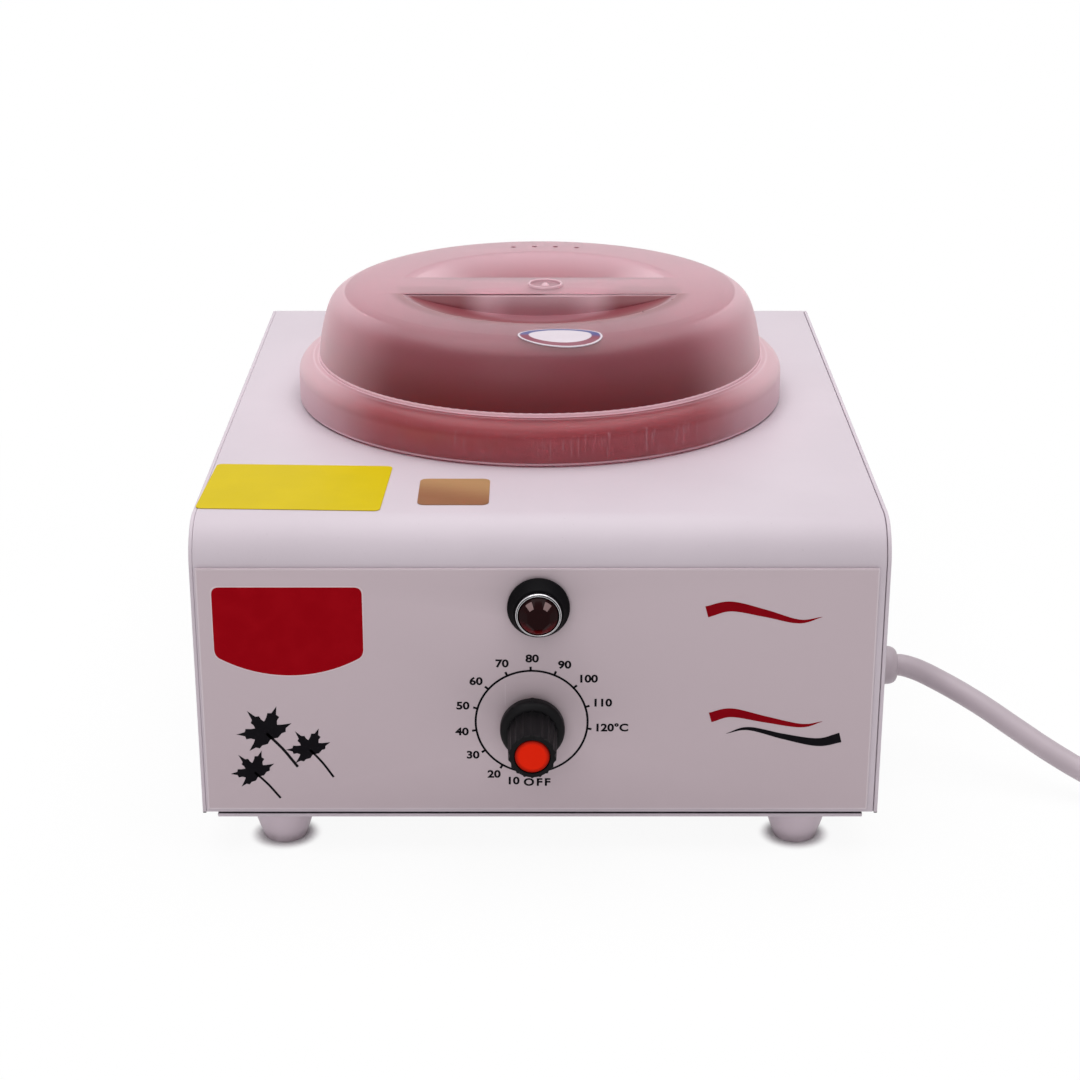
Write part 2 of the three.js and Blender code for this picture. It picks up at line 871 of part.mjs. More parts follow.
// The heater's band: a ring that is open at the back, with an ear beside each end
function bandOutline(inner, outer) {
  const [near, far] = [heaterSplit / 2, heaterSplit / 2 + earThickness];
  const tip = outer + earLength;
  const innerOpen = Math.asin(near / inner);
  const outerOpen = Math.asin(far / outer);
  const shape = new THREE.Shape();
  shape.moveTo(near, tip);
  shape.lineTo(far, tip);
  shape.absarc(0, 0, outer, quarter - outerOpen, quarter + outerOpen - 4 * quarter, true);
  shape.lineTo(-far, tip);
  shape.lineTo(-near, tip);
  shape.absarc(0, 0, inner, quarter + innerOpen - 4 * quarter, quarter - innerOpen, false);
  return shape;
}

function addHeater() {
  const shape = bandOutline(wellRadius + fitGap, heaterOuter);
  const screwY = heaterOuter + earLength / 2;
  const middle = heaterHeight / 2;
  const hole = toRight(rod(clampHole, -heaterSplit, heaterSplit, screwFacets));
  const ring = prism(shape, 0, heaterHeight, potFacets);
  const band = cut(ring, hole.translate(0, screwY, middle));
  piece(housing, "band_heater", band, mica, 0, potCentreY, heaterBottom);
  const reach = heaterSplit / 2 + earThickness + fitGap;
  const clamp = turned(
    [
      [0, -reach - clampHeadHeight],
      [clampHead, -reach - clampHeadHeight],
      [clampHead, -reach],
      [clampShank, -reach],
      [clampShank, reach],
      [clampHead, reach],
      [clampHead, reach + clampHeadHeight],
      [0, reach + clampHeadHeight],
    ],
    screwFacets,
  );
  piece(housing, "heater_clamp_screw", toRight(clamp), steel,
    0, potCentreY + screwY, heaterBottom + middle);
  const skirt = heaterOuter + fitGap;
  const blanket = prism(splitRing(skirt, skirt + blanketThickness, blanketSplit),
    -blanketLap, heaterHeight + blanketLap, potFacets);
  piece(housing, "insulation_blanket", blanket, glassWool, 0, potCentreY, heaterBottom);
}

// Thermostat: body with its bush through the front, nut, bulb on a capillary, and clip
function addThermostat() {
  const caseShape = roundedRectangle(thermostatWidth, thermostatHeight, thermostatChamfer);
  const front = sheet + thermostatBack;
  const back = front + thermostatDepth;
  const caseBlock = prismForward(prism(caseShape, -back, -front, 1));
  const bush = forward(rod(bushRadius, -front - overrun, bushReach));
  const bore = forward(rod(shaftRadius + 2 * fitGap, bushReach - bushBoreDepth, bushReach + overrun));
  const tabs = [-1, 0, 1].map((i) =>
    block(tabWidth, tabLength + overrun, tabThickness, i * tabSpacing,
      back + (tabLength - overrun) / 2, 0),
  );
  piece(knob, "thermostat_body", cut(join(caseBlock, bush, ...tabs), bore), mica);
  const seat = overlayFront + fitGap;
  const nut = hexagonNut(nutFlats, bushRadius + nutHoleGap, seat, seat + nutThickness);
  piece(knob, "thermostat_nut", prismForward(nut), brass);
}

function addSensor() {
  const bulbY = potCentreY - bulbInsetY;
  const bulbZ = wellBottom - fitGap - bulbRadius;
  const bulbEnd = bulbX - bulbLength / 2;
  const startX = knobX - thermostatWidth / 4;
  const startZ = knobZ - thermostatHeight / 2 - fitGap;
  const startY = sheet + thermostatBack + thermostatDepth / 2;
  const run = [
    [startX, startY, startZ],
    [startX, startY, startZ - 2 * capillaryStub],
    ...behindTabs(capillaryShares),
    [bulbEnd - 2 * bulbRadius, bulbY, bulbZ],
    [bulbEnd + bulbRadius, bulbY, bulbZ],
  ];
  const bulb = toRight(rod(bulbRadius, bulbEnd, bulbEnd + bulbLength, screwFacets));
  const capillary = tube(run, capillaryRadius, wireFacets, 2 * run.length);
  const sensor = join(capillary, bulb.translate(0, bulbY, bulbZ));
  piece(housing, "sensor_bulb", sensor, copper);
  addClip(bulbY, bulbZ);
}

// A strap bent round the bulb, with a wing each side against the well's floor
function addClip(bulbY, bulbZ) {
  const inner = bulbRadius + fitGap;
  const outer = inner + clipThickness;
  const seat = wellBottom - fitGap - bulbZ;
  const shape = new THREE.Shape();
  shape.moveTo(-outer - clipWing, seat);
  shape.lineTo(-inner, seat);
  shape.absarc(0, 0, inner, 2 * quarter, 4 * quarter, false);
  shape.lineTo(inner, seat);
  shape.lineTo(outer + clipWing, seat);
  shape.lineTo(outer + clipWing, seat - clipThickness);
  shape.lineTo(outer, seat - clipThickness);
  shape.absarc(0, 0, outer, 4 * quarter, 2 * quarter, true);
  shape.lineTo(-outer, seat - clipThickness);
  shape.lineTo(-outer - clipWing, seat - clipThickness);
  const clip = prismToRight(prism(shape, -clipWidth / 2, clipWidth / 2));
  piece(housing, "bulb_clip", clip, steel, bulbX, bulbY, bulbZ);
}

// Knob: a domed skirt, a fluted grip and a hollow back over the nut
function addKnob() {
  const skirtFront = knobBack + knobSkirtDepth;
  const gripStart = skirtFront + knobDomeRise;
  const gripEnd = knobReach - knobFrontChamfer;
  const capFloor = knobReach - capDepth;
  const bore = shaftRadius + fitGap;
  const hollow = knobBack + knobHollowDepth;
  const profile = [
    [0, knobBack],
    [knobSkirtRadius - knobFrontChamfer, knobBack],
    [knobSkirtRadius, knobBack + knobFrontChamfer],
    ...bend(knobGripBack, skirtFront, knobSkirtRadius - knobGripBack, knobDomeRise, 0, quarter),
    [knobGripBack, gripStart + fluteDepth],
    [knobGripFront, gripEnd],
    [knobGripFront - knobFrontChamfer, knobReach],
    [0, knobReach],
  ];
  const grip = turned(profile, flutePoints * fluteCount);
  flute(grip, gripStart, gripEnd);
  const pointer = block(pointerWidth, knobSkirtDepth + knobDomeRise, 2 * pointerHeight,
    0, -knobBack - (knobSkirtDepth + knobDomeRise) / 2, knobSkirtRadius - pointerHeight / 2);
  const body = cut(
    join(forward(grip), pointer),
    forward(rod(knobHollowRadius, knobBack - overrun, hollow)),
    forward(rod(bore, knobBack, hollow + shaftInKnob)),
    forward(rod(capRadius + fitGap, capFloor, knobReach + overrun)),
  );
  piece(knob, "knob_body", body, blackPlastic);
  const cap = turned([
    [0, capFloor + fitGap],
    [capRadius, capFloor + fitGap],
    [capRadius, knobReach - capDome],
    [capRadius - knobFrontChamfer, knobReach],
    [0, knobReach],
  ]);
  piece(knob, "knob_cap", forward(cap), orangePlastic);
}

// Presses shallow flutes into the grip, between its two ends.
function flute(geometry, from, to) {
  const position = geometry.getAttribute("position");
  const inner = knobGripFront - knobFrontChamfer;
  for (let i = 0; i < position.count; i++) {
    const [x, along, z] = [position.getX(i), position.getY(i), position.getZ(i)];
    const radius = Math.hypot(x, z);
    if (along <= from || along > to || radius <= inner) continue;
    const wave = (1 - Math.cos(fluteCount * Math.atan2(x, z))) / 2;
    const share = 1 - (fluteDepth * wave) / radius;
    position.setXYZ(i, x * share, along, z * share);
  }
}

function addShaft() {
  const half = Math.acos(shaftFlat / shaftRadius);
  const shape = new THREE.Shape();
  shape.absarc(0, 0, shaftRadius, quarter + half, quarter - half + 4 * quarter, false);
  const end = knobBack + knobHollowDepth + shaftInKnob - fitGap;
  const shaft = prismForward(prism(shape, -shaftInside, end, smallFacets));
  piece(knob, "thermostat_shaft", shaft, steel);
}

// Lamp: barrel through the front, collar, chrome bezel, cut jewel and nut
function addLamp() {
  const back = overlayFront + fitGap;
  const front = back + lampCollarDepth;
  const hole = lampBodyRadius + fitGap;
  const barrel = forward(rod(lampBodyRadius, -lampBodyBack, front));
  const tabs = [-1, 1].map((side) =>
    block(tabThickness, tabLength + overrun, tabWidth, (side * lampTabSpacing) / 2,
      lampBodyBack + (tabLength - overrun) / 2, 0),
  );
  piece(lamp, "lamp_body", join(barrel, ...tabs), blackPlastic);
  const collar = turned([
    [hole, back],
    [lampCollarBack, back],
    [lampCollarBack, back + lampCollarEdge],
    [lampCollarFront, front],
    [hole, front],
    [hole, back],
  ]);
  piece(lamp, "lamp_collar", forward(collar), blackPlastic);
  addBezelAndJewel(front + fitGap);
  const nut = turned([
    [hole, -sheet - fitGap - lampNutThickness],
    [lampNutRadius, -sheet - fitGap - lampNutThickness],
    [lampNutRadius, -sheet - fitGap],
    [hole, -sheet - fitGap],
    [hole, -sheet - fitGap - lampNutThickness],
  ]);
  piece(lamp, "lamp_nut", forward(nut), steel);
}

function addBezelAndJewel(seat) {
  const hole = jewelRadius + fitGap;
  const edge = (bezelRadius - hole) / 2;
  const bezel = turned([
    [hole, seat],
    [bezelRadius, seat],
    [bezelRadius, seat + bezelDepth - edge],
    [bezelRadius - edge, seat + bezelDepth],
    [hole, seat + bezelDepth - edge],
    [hole, seat],
  ]);
  piece(lamp, "lamp_bezel", forward(bezel), chrome);
  const ring = (radius, along, count) =>
    Array.from({ length: count }, (_, i) => {
      const angle = (4 * quarter * (i + 0.5)) / count;
      return new THREE.Vector3(radius * Math.cos(angle), along, radius * Math.sin(angle));
    });
  const jewel = new ConvexGeometry([
    ...ring(jewelRadius, seat, 3 * jewelFacets),
    ...ring(jewelRadius, seat + jewelGirdle, 3 * jewelFacets),
    ...ring(jewelTableRadius, seat + jewelGirdle + jewelCrown, jewelFacets),
  ]);
  piece(lamp, "lamp_lens", forward(jewel), jewelPlastic);
}

// Terminal block, earth screw and wiring
const wayHeightZ = baseTop + fitGap + wayHeight;
const wayY = [-1, 0, 1].map((i) => blockY + i * wayPitch);

function addTerminals() {
  const base = block(blockWidth, blockDepth, blockBaseHeight, 0, 0, blockBaseHeight / 2);
  const barrels = [-1, 0, 1].map((i) =>
    block(barrelWidth, barrelDepth, barrelHeight, 0, i * wayPitch, barrelHeight / 2),
  );
  const ways = [-1, 0, 1].map((i) =>
    toRight(rod(wayRadius, -blockWidth, blockWidth, wayFacets)).translate(0, i * wayPitch, wayHeight),
  );
  const screwHoles = [-1, 0, 1].map((i) =>
    up(rod(wayRadius, wayHeight, barrelHeight + overrun, wayFacets)).translate(0, i * wayPitch, 0),
  );
  piece(housing, "terminal_block", cut(join(base, ...barrels), ...ways, ...screwHoles), ceramic,
    blockX, blockY, baseTop + fitGap);
  const head = baseTop + lugThickness + 3 * fitGap;
  piece(housing, "earth_screw", up(screw(earthScrew)).rotateX(2 * quarter), brass,
    earthX, earthY, head);
}

// Points between the tabs and the blanket, and points round the block
function behindTabs(shares) {
  const space = blanketFront - tabEnd;
  return shares.map(([x, y, z]) => [x * housingWidth, tabEnd + y * space, z * housingTop]);
}

function besideBlock(shares) {
  return shares.map(([x, y, z]) => [x * housingWidth, y * blockY, z * housingTop]);
}

function wire(points) {
  return tube(points, wireRadius, wireFacets, 2 * (points.length - 1));
}

// A wire between two terminals, straight at each end and led along points between them
function addWire(name, [start, startWay], middle, [end, endWay], material) {
  const away = (from, way) => from.map((value, axis) => value + stub * way[axis]);
  const points = [start, away(start, startWay), ...middle, away(end, endWay), end];
  piece(housing, name, wire(points), material);
}

function addCores() {
  const blockRight = blockX + barrelWidth / 2 + fitGap;
  const neckEnd = sideX - sheet - glandInside - fitGap;
  const spread = cordRadius * coreShares.spread;
  const rise = glandZ + cordRadius * coreShares.rise;
  const drop = glandZ - cordRadius * coreShares.drop;
  const [inward, outward] = [[-1, 0, 0], [1, 0, 0]];
  addWire("core_live", [[neckEnd, glandY - spread, rise], inward], besideBlock(liveShares),
    [[blockRight, wayY[0], wayHeightZ], outward], brownSheath);
  addWire("core_neutral", [[neckEnd, glandY, drop], inward], besideBlock(neutralShares),
    [[blockRight, wayY[1], wayHeightZ], outward], blueSheath);
  const lugZ = baseTop + fitGap;
  const earth = wire([
    [neckEnd, glandY + spread, rise],
    [neckEnd - stub, glandY + spread, rise],
    ...besideBlock(earthShares),
    [earthX, earthY - lugRadius + wireRadius / 2, lugZ + wireRadius],
  ]);
  const lug = cut(
    up(rod(lugRadius, 0, lugThickness, screwFacets)),
    up(rod(earthScrew.shank + fitGap, -overrun, overrun, screwFacets)),
  ).translate(earthX, earthY, lugZ);
  piece(housing, "core_earth", join(earth, lug), greenSheath);
}

function addLeads() {
  const tabY = tabEnd + fitGap;
  const lampTabY = lampBodyBack + tabLength + fitGap;
  const heaterMiddle = wellRadius + fitGap + heaterThickness / 2;
  const [backward, downward, leftward] = [[0, 1, 0], [0, 0, -1], [-1, 0, 0]];
  const intoBlock = (i) => [
    [blockX - barrelWidth / 2 - fitGap, wayY[i], wayHeightZ],
    leftward,
  ];
  const onThermostat = (i) => [[knobX + i * tabSpacing, tabY, knobZ], backward];
  const onLamp = (side) => [[lampX + (side * lampTabSpacing) / 2, lampTabY, lampZ], backward];
  const onHeater = (degrees) => {
    const angle = THREE.MathUtils.degToRad(degrees);
    const [x, y] = [heaterMiddle * Math.cos(angle), potCentreY + heaterMiddle * Math.sin(angle)];
    return [[x, y, heaterBottom - fitGap], downward];
  };
  const [left, right] = heaterLeadDegrees.map(onHeater);
  const [[rightX, rightY]] = right;
  for (const [name, start, middle, end, material] of [
    ["lead_thermostat", onThermostat(1),
      [...behindTabs(thermostatLeadShares), ...besideBlock(thermostatToBlockShares)],
      intoBlock(0), redSheath],
    ["lead_heater_left", left, behindTabs(heaterLeftShares), onThermostat(-1), redSheath],
    ["lead_heater_right", right,
      [[rightX, rightY, wellBottom], ...besideBlock(heaterToBlockShares)],
      intoBlock(2), redSheath],
    ["lead_lamp_left", onLamp(-1), behindTabs(lampLeftShares), onThermostat(0), blueSheath],
    ["lead_lamp_right", onLamp(1),
      [...behindTabs(lampRightShares), ...besideBlock(lampToBlockShares)],
      intoBlock(1), blueSheath],
  ])
    addWire(name, start, middle, end, material);
}

// Mains lead: gland, nut, free stretch, coil and plug
function addGland() {
  const outside = fitGap;
  const inside = -sheet - glandInside;
  const bulge = (glandFlangeRadius + cordRadius) / 2;
  const gland = turned([
    [0, inside],
    [glandNeckRadius, inside],
    [glandNeckRadius, outside],
    [glandFlangeRadius, outside],
    [glandFlangeRadius, outside + glandReach / 5],
    [bulge + (glandFlangeRadius - bulge) / 2, outside + glandReach / 2],
    [bulge, glandReach - glandReach / 6],
    [bulge - (bulge - cordRadius) / 2, glandReach],
    [0, glandReach],
  ]);
  piece(lead, "cord_gland", toRight(gland), whitePlastic, 0, 0, glandZ);
  const seat = -sheet - fitGap;
  const nut = hexagonNut(glandNutFlats, glandNeckRadius + fitGap, seat - glandNutThickness, seat);
  piece(lead, "gland_nut", prismToRight(nut), whitePlastic, 0, 0, glandZ);
}

// Middle line of the coil: in on the floor, up a layer as it turns back, and out again on top.
function coilPoint(angle) {
  const entry = THREE.MathUtils.degToRad(coilEntryDegrees);
  const whole = coilTurns * 4 * quarter;
  const pitch = 2 * cordRadius + turnGap;
  const radius = coilRadius - (pitch * Math.min(angle, whole - angle)) / (4 * quarter);
  const climb = THREE.MathUtils.smoothstep(angle, whole / 2 - quarter, whole / 2 + quarter);
  return [
    coilX + radius * Math.cos(entry + angle),
    coilY + radius * Math.sin(entry + angle),
    cordRadius + cordLift + pitch * climb,
  ];
}

function coilLine() {
  const whole = coilTurns * 4 * quarter;
  const steps = Math.round(coilTurns * coilStepsPerTurn);
  const wound = Array.from({ length: steps + 1 }, (_, i) => coilPoint((whole * i) / steps));
  const nearly = whole / steps / coilStepsPerTurn;
  return [
    runOut(coilPoint(nearly), wound[0], 2 * cordRadius),
    ...wound,
    runOut(coilPoint(whole - nearly), wound[steps], 2 * cordRadius),
  ];
}

// A point past b, on the line from a through b.
function runOut(a, b, distance) {
  const from = new THREE.Vector3(...a);
  const to = new THREE.Vector3(...b);
  const way = to.clone().sub(from).normalize();
  return to.addScaledVector(way, distance).toArray();
}

// Least gap between the coil's turns, measured on its middle line.
function leastGap(line) {
  const apart = coilStepsPerTurn / 2;
  let least = Infinity;
  for (let i = 0; i < line.length; i++)
    for (let k = i + apart; k < line.length; k++)
      least = Math.min(least, new THREE.Vector3(...line[i]).distanceTo(new THREE.Vector3(...line[k])));
  return least - 2 * cordRadius;
}

function addLead() {
  const coil = coilLine();
  const gap = leastGap(coil);
  console.log("least gap between turns " + gap.toFixed(2) + " mm, to be over " + leastTurnGap);
  const route = [
    [glandReach + fitGap, 0, glandZ],
    [17, 0, glandZ],
    [20.8, -0.2, 37],
    [24.9, -0.7, 35.5],
    [29.5, -1.9, 33.5],
    [35.6, -4.4, 30.9],
    [41.7, -7.9, 28.3],
    [47.8, -11.7, 25.5],
    [53.8, -15.5, 22.4],
    [59.8, -19.2, 19.3],
    [65.7, -22.9, 16.3],
    [71.6, -26.6, 13.6],
    [77.4, -30.2, 11.2],
    [84.2, -34.4, 8.9],
    [91, -38.7, 7],
    [97.8, -42.9, 5.5],
    [104.5, -47.2, 4.6],
    [109.6, -50.3, 4.35],
    runOut(coil[1], coil[0], fitGap),
  ];
  piece(lead, "power_cord", tube(route, cordRadius, cordSides, cordSteps), whitePlastic);
  piece(lead, "cord_coil", tube(coil, cordRadius, coilSides, coil.length), whitePlastic);
  console.log("lead " + Math.round(pathLength(route) + pathLength(coil)) + " mm from gland to plug");
  addPlug(runOut(coil.at(-2), coil.at(-1), fitGap));
}

function pathLength(points) {
  return new THREE.CatmullRomCurve3(points.map((p) => new THREE.Vector3(...p))).getLength();
}

// One ring of the plug: flat below, rounded above, and narrower towards its top.
function plugRing(along, halfWidth, low, high, flatness) {
  return Array.from({ length: plugFacets }, (_, i) => {
    const angle = (4 * quarter * i) / plugFacets;
    const swell = (value) => Math.sign(value) * Math.abs(value) ** (1 - flatness / 2);
    const rise = swell(Math.sin(angle));
    const narrow = 1 - (flatness * (rise + 1)) / 4;
    return [
      -halfWidth * swell(Math.cos(angle)) * narrow,
      along,
      (low + high) / 2 + ((high - low) / 2) * rise,
    ];
  });
}

function loft(rings) {
  const count = rings[0].length;
  const points = rings.flat();
  const faces = [];
  for (let r = 0; r + 1 < rings.length; r++)
    for (let i = 0; i < count; i++) {
      const [a, b] = [r * count + i, r * count + ((i + 1) % count)];
      faces.push(a, b, a + count, b, b + count, a + count);
    }
  const last = points.length - count;
  for (let i = 1; i + 1 < count; i++) faces.push(0, i + 1, i, last, last + i, last + i + 1);
  const geometry = new THREE.BufferGeometry();
  geometry.setAttribute("position", new THREE.Float32BufferAttribute(points.flat(), 3));
  geometry.setIndex(faces);
  geometry.computeVertexNormals();
  return geometry;
}

function addPlug([x, y, z]) {
  const [half, r] = [plugWidth / 2, reliefRadius];
  const top = plugHeight + cordLift - z;
  const low = cordLift - z;
  const back = reliefLength;
  const bodyRing = (along, [width, down, rise, flatness]) =>
    plugRing(along, half * width, low * down, top * rise, flatness);
  const body = loft([
    plugRing(0, r, -r, r, 0),
    plugRing(back, collarShare * r, -collarShare * r, collarShare * r, 0),
    bodyRing(back + r / 2, shoulderShares),
    bodyRing(back + 2 * r, gripShares),
    bodyRing(plugLength - pinTip, faceShares),
    plugRing(plugLength, half - pinTip, low + pinTip, top - pinTip, faceShares[3]),
  ]);
  const plug = group(lead, x, y, z);
  piece(plug, "plug_body", body, whitePlastic);
  const pinRow = low + pinInset;
  const front = plugLength + fitGap;
  for (const [name, px, pz, radius, length] of [
    ["plug_pin_live", -pinSpacing / 2, pinRow, pinRadius, pinLength],
    ["plug_pin_neutral", pinSpacing / 2, pinRow, pinRadius, pinLength],
    ["plug_pin_earth", 0, pinRow + earthPinRise, earthPinRadius, earthPinLength],
  ]) {
    const pin = turned([
      [0, front],
      [radius, front],
      [radius, front + length - pinTip],
      [radius - pinTip, front + length],
      [0, front + length],
    ], screwFacets);
    piece(plug, name, pin, brass, px, 0, pz);
  }
}

addCover();
addSidePanel("side_panel_left", -1);
addSidePanel("side_panel_right", 1);
addBasePlate();
addOverlay();
addFeet();
addPlateScrews();
addStickers();
addPot();
addLid();
addLidSticker();
addWell();
addHeater();
addThermostat();
addSensor();
addKnob();
addShaft();
addLamp();
addTerminals();
addCores();
addLeads();
addGland();
addLead();

housing.position.y = frameShiftY;

export default model;
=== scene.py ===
# A table-top wax heater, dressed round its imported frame. Sizes are written in millimetres:
# across from the middle, back from the cover's front face and up from the floor.
import math
from functools import partial

import bpy
from bpy.props import FloatProperty, FloatVectorProperty, IntProperty, PointerProperty
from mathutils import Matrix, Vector


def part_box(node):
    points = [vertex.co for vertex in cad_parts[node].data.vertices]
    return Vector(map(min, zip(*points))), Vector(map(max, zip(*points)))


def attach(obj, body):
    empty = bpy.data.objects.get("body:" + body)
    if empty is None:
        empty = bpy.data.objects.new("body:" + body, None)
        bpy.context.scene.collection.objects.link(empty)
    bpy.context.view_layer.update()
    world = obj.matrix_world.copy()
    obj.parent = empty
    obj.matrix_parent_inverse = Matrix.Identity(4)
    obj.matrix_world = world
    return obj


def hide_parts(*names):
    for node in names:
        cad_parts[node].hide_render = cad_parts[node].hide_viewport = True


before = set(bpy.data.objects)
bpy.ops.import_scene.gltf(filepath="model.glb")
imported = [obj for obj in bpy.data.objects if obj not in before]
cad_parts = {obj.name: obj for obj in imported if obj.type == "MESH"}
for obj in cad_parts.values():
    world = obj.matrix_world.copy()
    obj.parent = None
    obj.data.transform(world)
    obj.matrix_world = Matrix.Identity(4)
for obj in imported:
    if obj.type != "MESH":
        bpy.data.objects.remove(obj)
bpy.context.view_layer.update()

bl_info = {
    "name": "Wax Heater",
    "version": (1, 0, 0),
    "blender": (4, 5, 0),
    "location": "3D View > Sidebar > Wax Heater",
    "description": "Dresses a wax heater: painted housing, frosted lid, dial, knob, lamp and lead",
    "category": "Object",
}

MM = 0.001
TURN = 2 * math.pi


def node_box(name):
    """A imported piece's lowest and highest corner, in millimetres of the frame."""
    return [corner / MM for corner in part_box(name)]


COVER_LOW, COVER_HIGH = node_box("housing_cover")
FRONT = COVER_LOW.y
DEPTH = COVER_HIGH.y - COVER_LOW.y
TOP = COVER_HIGH.z
COVER_FOOT = COVER_LOW.z


def spot(x, y, z):
    """A place in millimetres, its depth measured from the cover's front, in the frame's metres."""
    return Vector((x, y + FRONT, z)) * MM


def middle(name):
    """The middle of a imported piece: across, back from the cover's front, and up."""
    low, high = node_box(name)
    return Vector(((low.x + high.x) / 2, (low.y + high.y) / 2 - FRONT, (low.z + high.z) / 2))


def srgb(red, green, blue):
    """A screen colour, from 0 to 255, as the light values that a material takes."""
    shares = [value / 255 for value in (red, green, blue)]
    return [s / 12.92 if s <= 0.04045 else ((s + 0.055) / 1.055) ** 2.4 for s in shares]


def apart(first, second):
    """The distance from a middle, from the coordinates on two axes."""
    return (first * first + second * second) ** 0.5


def shaded(colour, share):
    """A colour made darker, or brighter, by a share."""
    return [share * value for value in colour]


# What a user may change
def length(name, default, description):
    return FloatProperty(
        name=name, description=description, default=default * MM, min=0, unit="LENGTH", precision=5
    )


def colour(name, red, green, blue, description):
    return FloatVectorProperty(
        name=name, description=description, default=srgb(red, green, blue), min=0, max=1,
        subtype="COLOR",
    )


def share(name, default, description):
    return FloatProperty(
        name=name, description=description, default=default, min=0, max=1, subtype="FACTOR"
    )


def power(name, default, description):
    return FloatProperty(name=name, description=description, default=default, unit="POWER")


def count(name, default, description):
    return IntProperty(name=name, description=description, default=default, min=1)


class Sizes:
    """Reads a property group back, its lengths in millimetres."""

    def __init__(self, name):
        self.group = getattr(bpy.context.scene, name)

    def __getattr__(self, name):
        value = getattr(self.group, name)
        return value / MM if isinstance(value, float) else value


# Shader maths: a wrapped socket adds its own Math nodes
class Wire:
    def __init__(self, paint, socket):
        self.paint = paint
        self.socket = socket

    def maths(self, operation, *values):
        return self.paint.node("ShaderNodeMath", {"operation": operation}, *values)

    def __add__(self, other):
        return self.maths("ADD", self, other)

    def __sub__(self, other):
        return self.maths("SUBTRACT", self, other)

    def __rsub__(self, other):
        return self.maths("SUBTRACT", other, self)

    def __mul__(self, other):
        return self.maths("MULTIPLY", self, other)

    def __truediv__(self, other):
        return self.maths("DIVIDE", self, other)

    def __pow__(self, other):
        return self.maths("POWER", self, other)

    def __lt__(self, other):
        return self.maths("LESS_THAN", self, other)

    def __gt__(self, other):
        return self.maths("GREATER_THAN", self, other)

    __radd__ = __add__
    __rmul__ = __mul__

    def absolute(self):
        return self.maths("ABSOLUTE", self)

    def near(self, place, half):
        """1 in a band round a place, from the band's half width."""
        return (self - place).absolute() < half

    def clamped(self):
        return self.paint.node("ShaderNodeClamp", {}, self, 0, 1)

    def rise(self, start, end):
        """0 before start and 1 after end, smooth between them."""
        settings = {"interpolation_type": "SMOOTHSTEP"}
        return self.paint.node("ShaderNodeMapRange", settings, self, start, end, 0, 1)


class Paint:
    """A material, or the world, in the making, with one method that adds any node."""

    def __init__(self, name, kind="Material"):
        made = bpy.data.worlds.new(name) if kind == "World" else bpy.data.materials.new(name)
        made.use_nodes = True
        self.made = made
        self.tree = made.node_tree
        self.tree.nodes.clear()
        self.output = self.tree.nodes.new("ShaderNodeOutput" + kind)
        self.look = bpy.context.scene.heater_colours

    def node(self, kind, settings, *values, output=0, **named):
        made = self.tree.nodes.new(kind)
        for setting, value in settings.items():
            setattr(made, setting, value)
        for index, value in enumerate(values):
            self.feed(made.inputs[index], value)
        for name, value in named.items():
            self.feed(find_socket(made, name), value)
        return Wire(self, made.outputs[output])

    def feed(self, socket, value):
        if value is None:
            return
        if isinstance(value, Wire):
            self.tree.links.new(value.socket, socket)
        elif hasattr(socket.default_value, "__len__") and len(socket.default_value) == 4:
            socket.default_value = [*value, 1][:4]
        else:
            socket.default_value = value

    def place(self):
        """Object coordinates, in metres."""
        return self.node("ShaderNodeTexCoord", {}, output="Object")

    def axes(self, turn=(0, 0, 0), centre=(0, 0, 0)):
        """The three Object coordinates in millimetres of the heater, from a centre."""
        settings = {"vector_type": "TEXTURE"}
        mapped = self.node("ShaderNodeMapping", settings, self.place(), Location=spot(*centre),
                           Rotation=turn)
        parts = self.node("ShaderNodeSeparateXYZ", {}, mapped).socket.node.outputs
        return [Wire(self, part) / MM for part in parts]

    def noise(self, size, detail=3, stretch=(1, 1, 1), roughness=0.5):
        """Noise with patches of about a size in millimetres."""
        mapped = self.node("ShaderNodeMapping", {}, self.place(), Scale=stretch)
        return self.node("ShaderNodeTexNoise", {}, mapped, Scale=1 / (size * MM), Detail=detail,
                         Roughness=roughness)

    def cells(self, size):
        """Flakes of about a size in millimetres."""
        return self.node("ShaderNodeTexVoronoi", {}, self.place(), Scale=1 / (size * MM))

    def mix(self, factor, first, second):
        settings = {"data_type": "RGBA", "clamp_factor": True}
        made = self.node("ShaderNodeMix", settings, output=2)
        sockets = made.socket.node.inputs
        for socket, value in zip((sockets[0], sockets[6], sockets[7]), (factor, first, second)):
            self.feed(socket, value)
        return made

    def bump(self, height, depth, strength=1.0, normal=None):
        """Height from 0 to 1 raises the surface by a depth in millimetres."""
        return self.node("ShaderNodeBump", {}, Strength=strength, Distance=depth * MM,
                         Height=height, Normal=normal)

    def patched(self, shade, share, patches):
        """A colour that is darker or brighter by a share where the patches are 1."""
        return self.mix(patches, shade, shaded(shade, share))

    def shader(self, tone, rough, relief=None, **values):
        """A Principled shader of a colour, a roughness, a bump and any other values."""
        return self.node("ShaderNodeBsdfPrincipled", {}, Base_Color=tone, Roughness=rough,
                         Normal=relief, **values)

    def seen(self):
        """1 for the camera and for what shines or is clear, 0 for the light on the heater."""
        rays = self.node("ShaderNodeLightPath", {}).socket.node.outputs
        camera, glossy, through = [Wire(self, rays[f"Is {kind} Ray"]) for kind in
                                   ("Camera", "Glossy", "Transmission")]
        return (camera + glossy + through).clamped()

    def show(self, shader):
        self.tree.links.new(shader.socket, self.output.inputs["Surface"])
        return self.made

    def surface(self, tone, rough, relief=None, **values):
        return self.show(self.shader(tone, rough, relief, **values))


def find_socket(node, name):
    """The input with a name, where an underscore stands for a space."""
    plain = name.replace("_", " ")
    return next(s for s in node.inputs if s.name == plain and s.enabled)


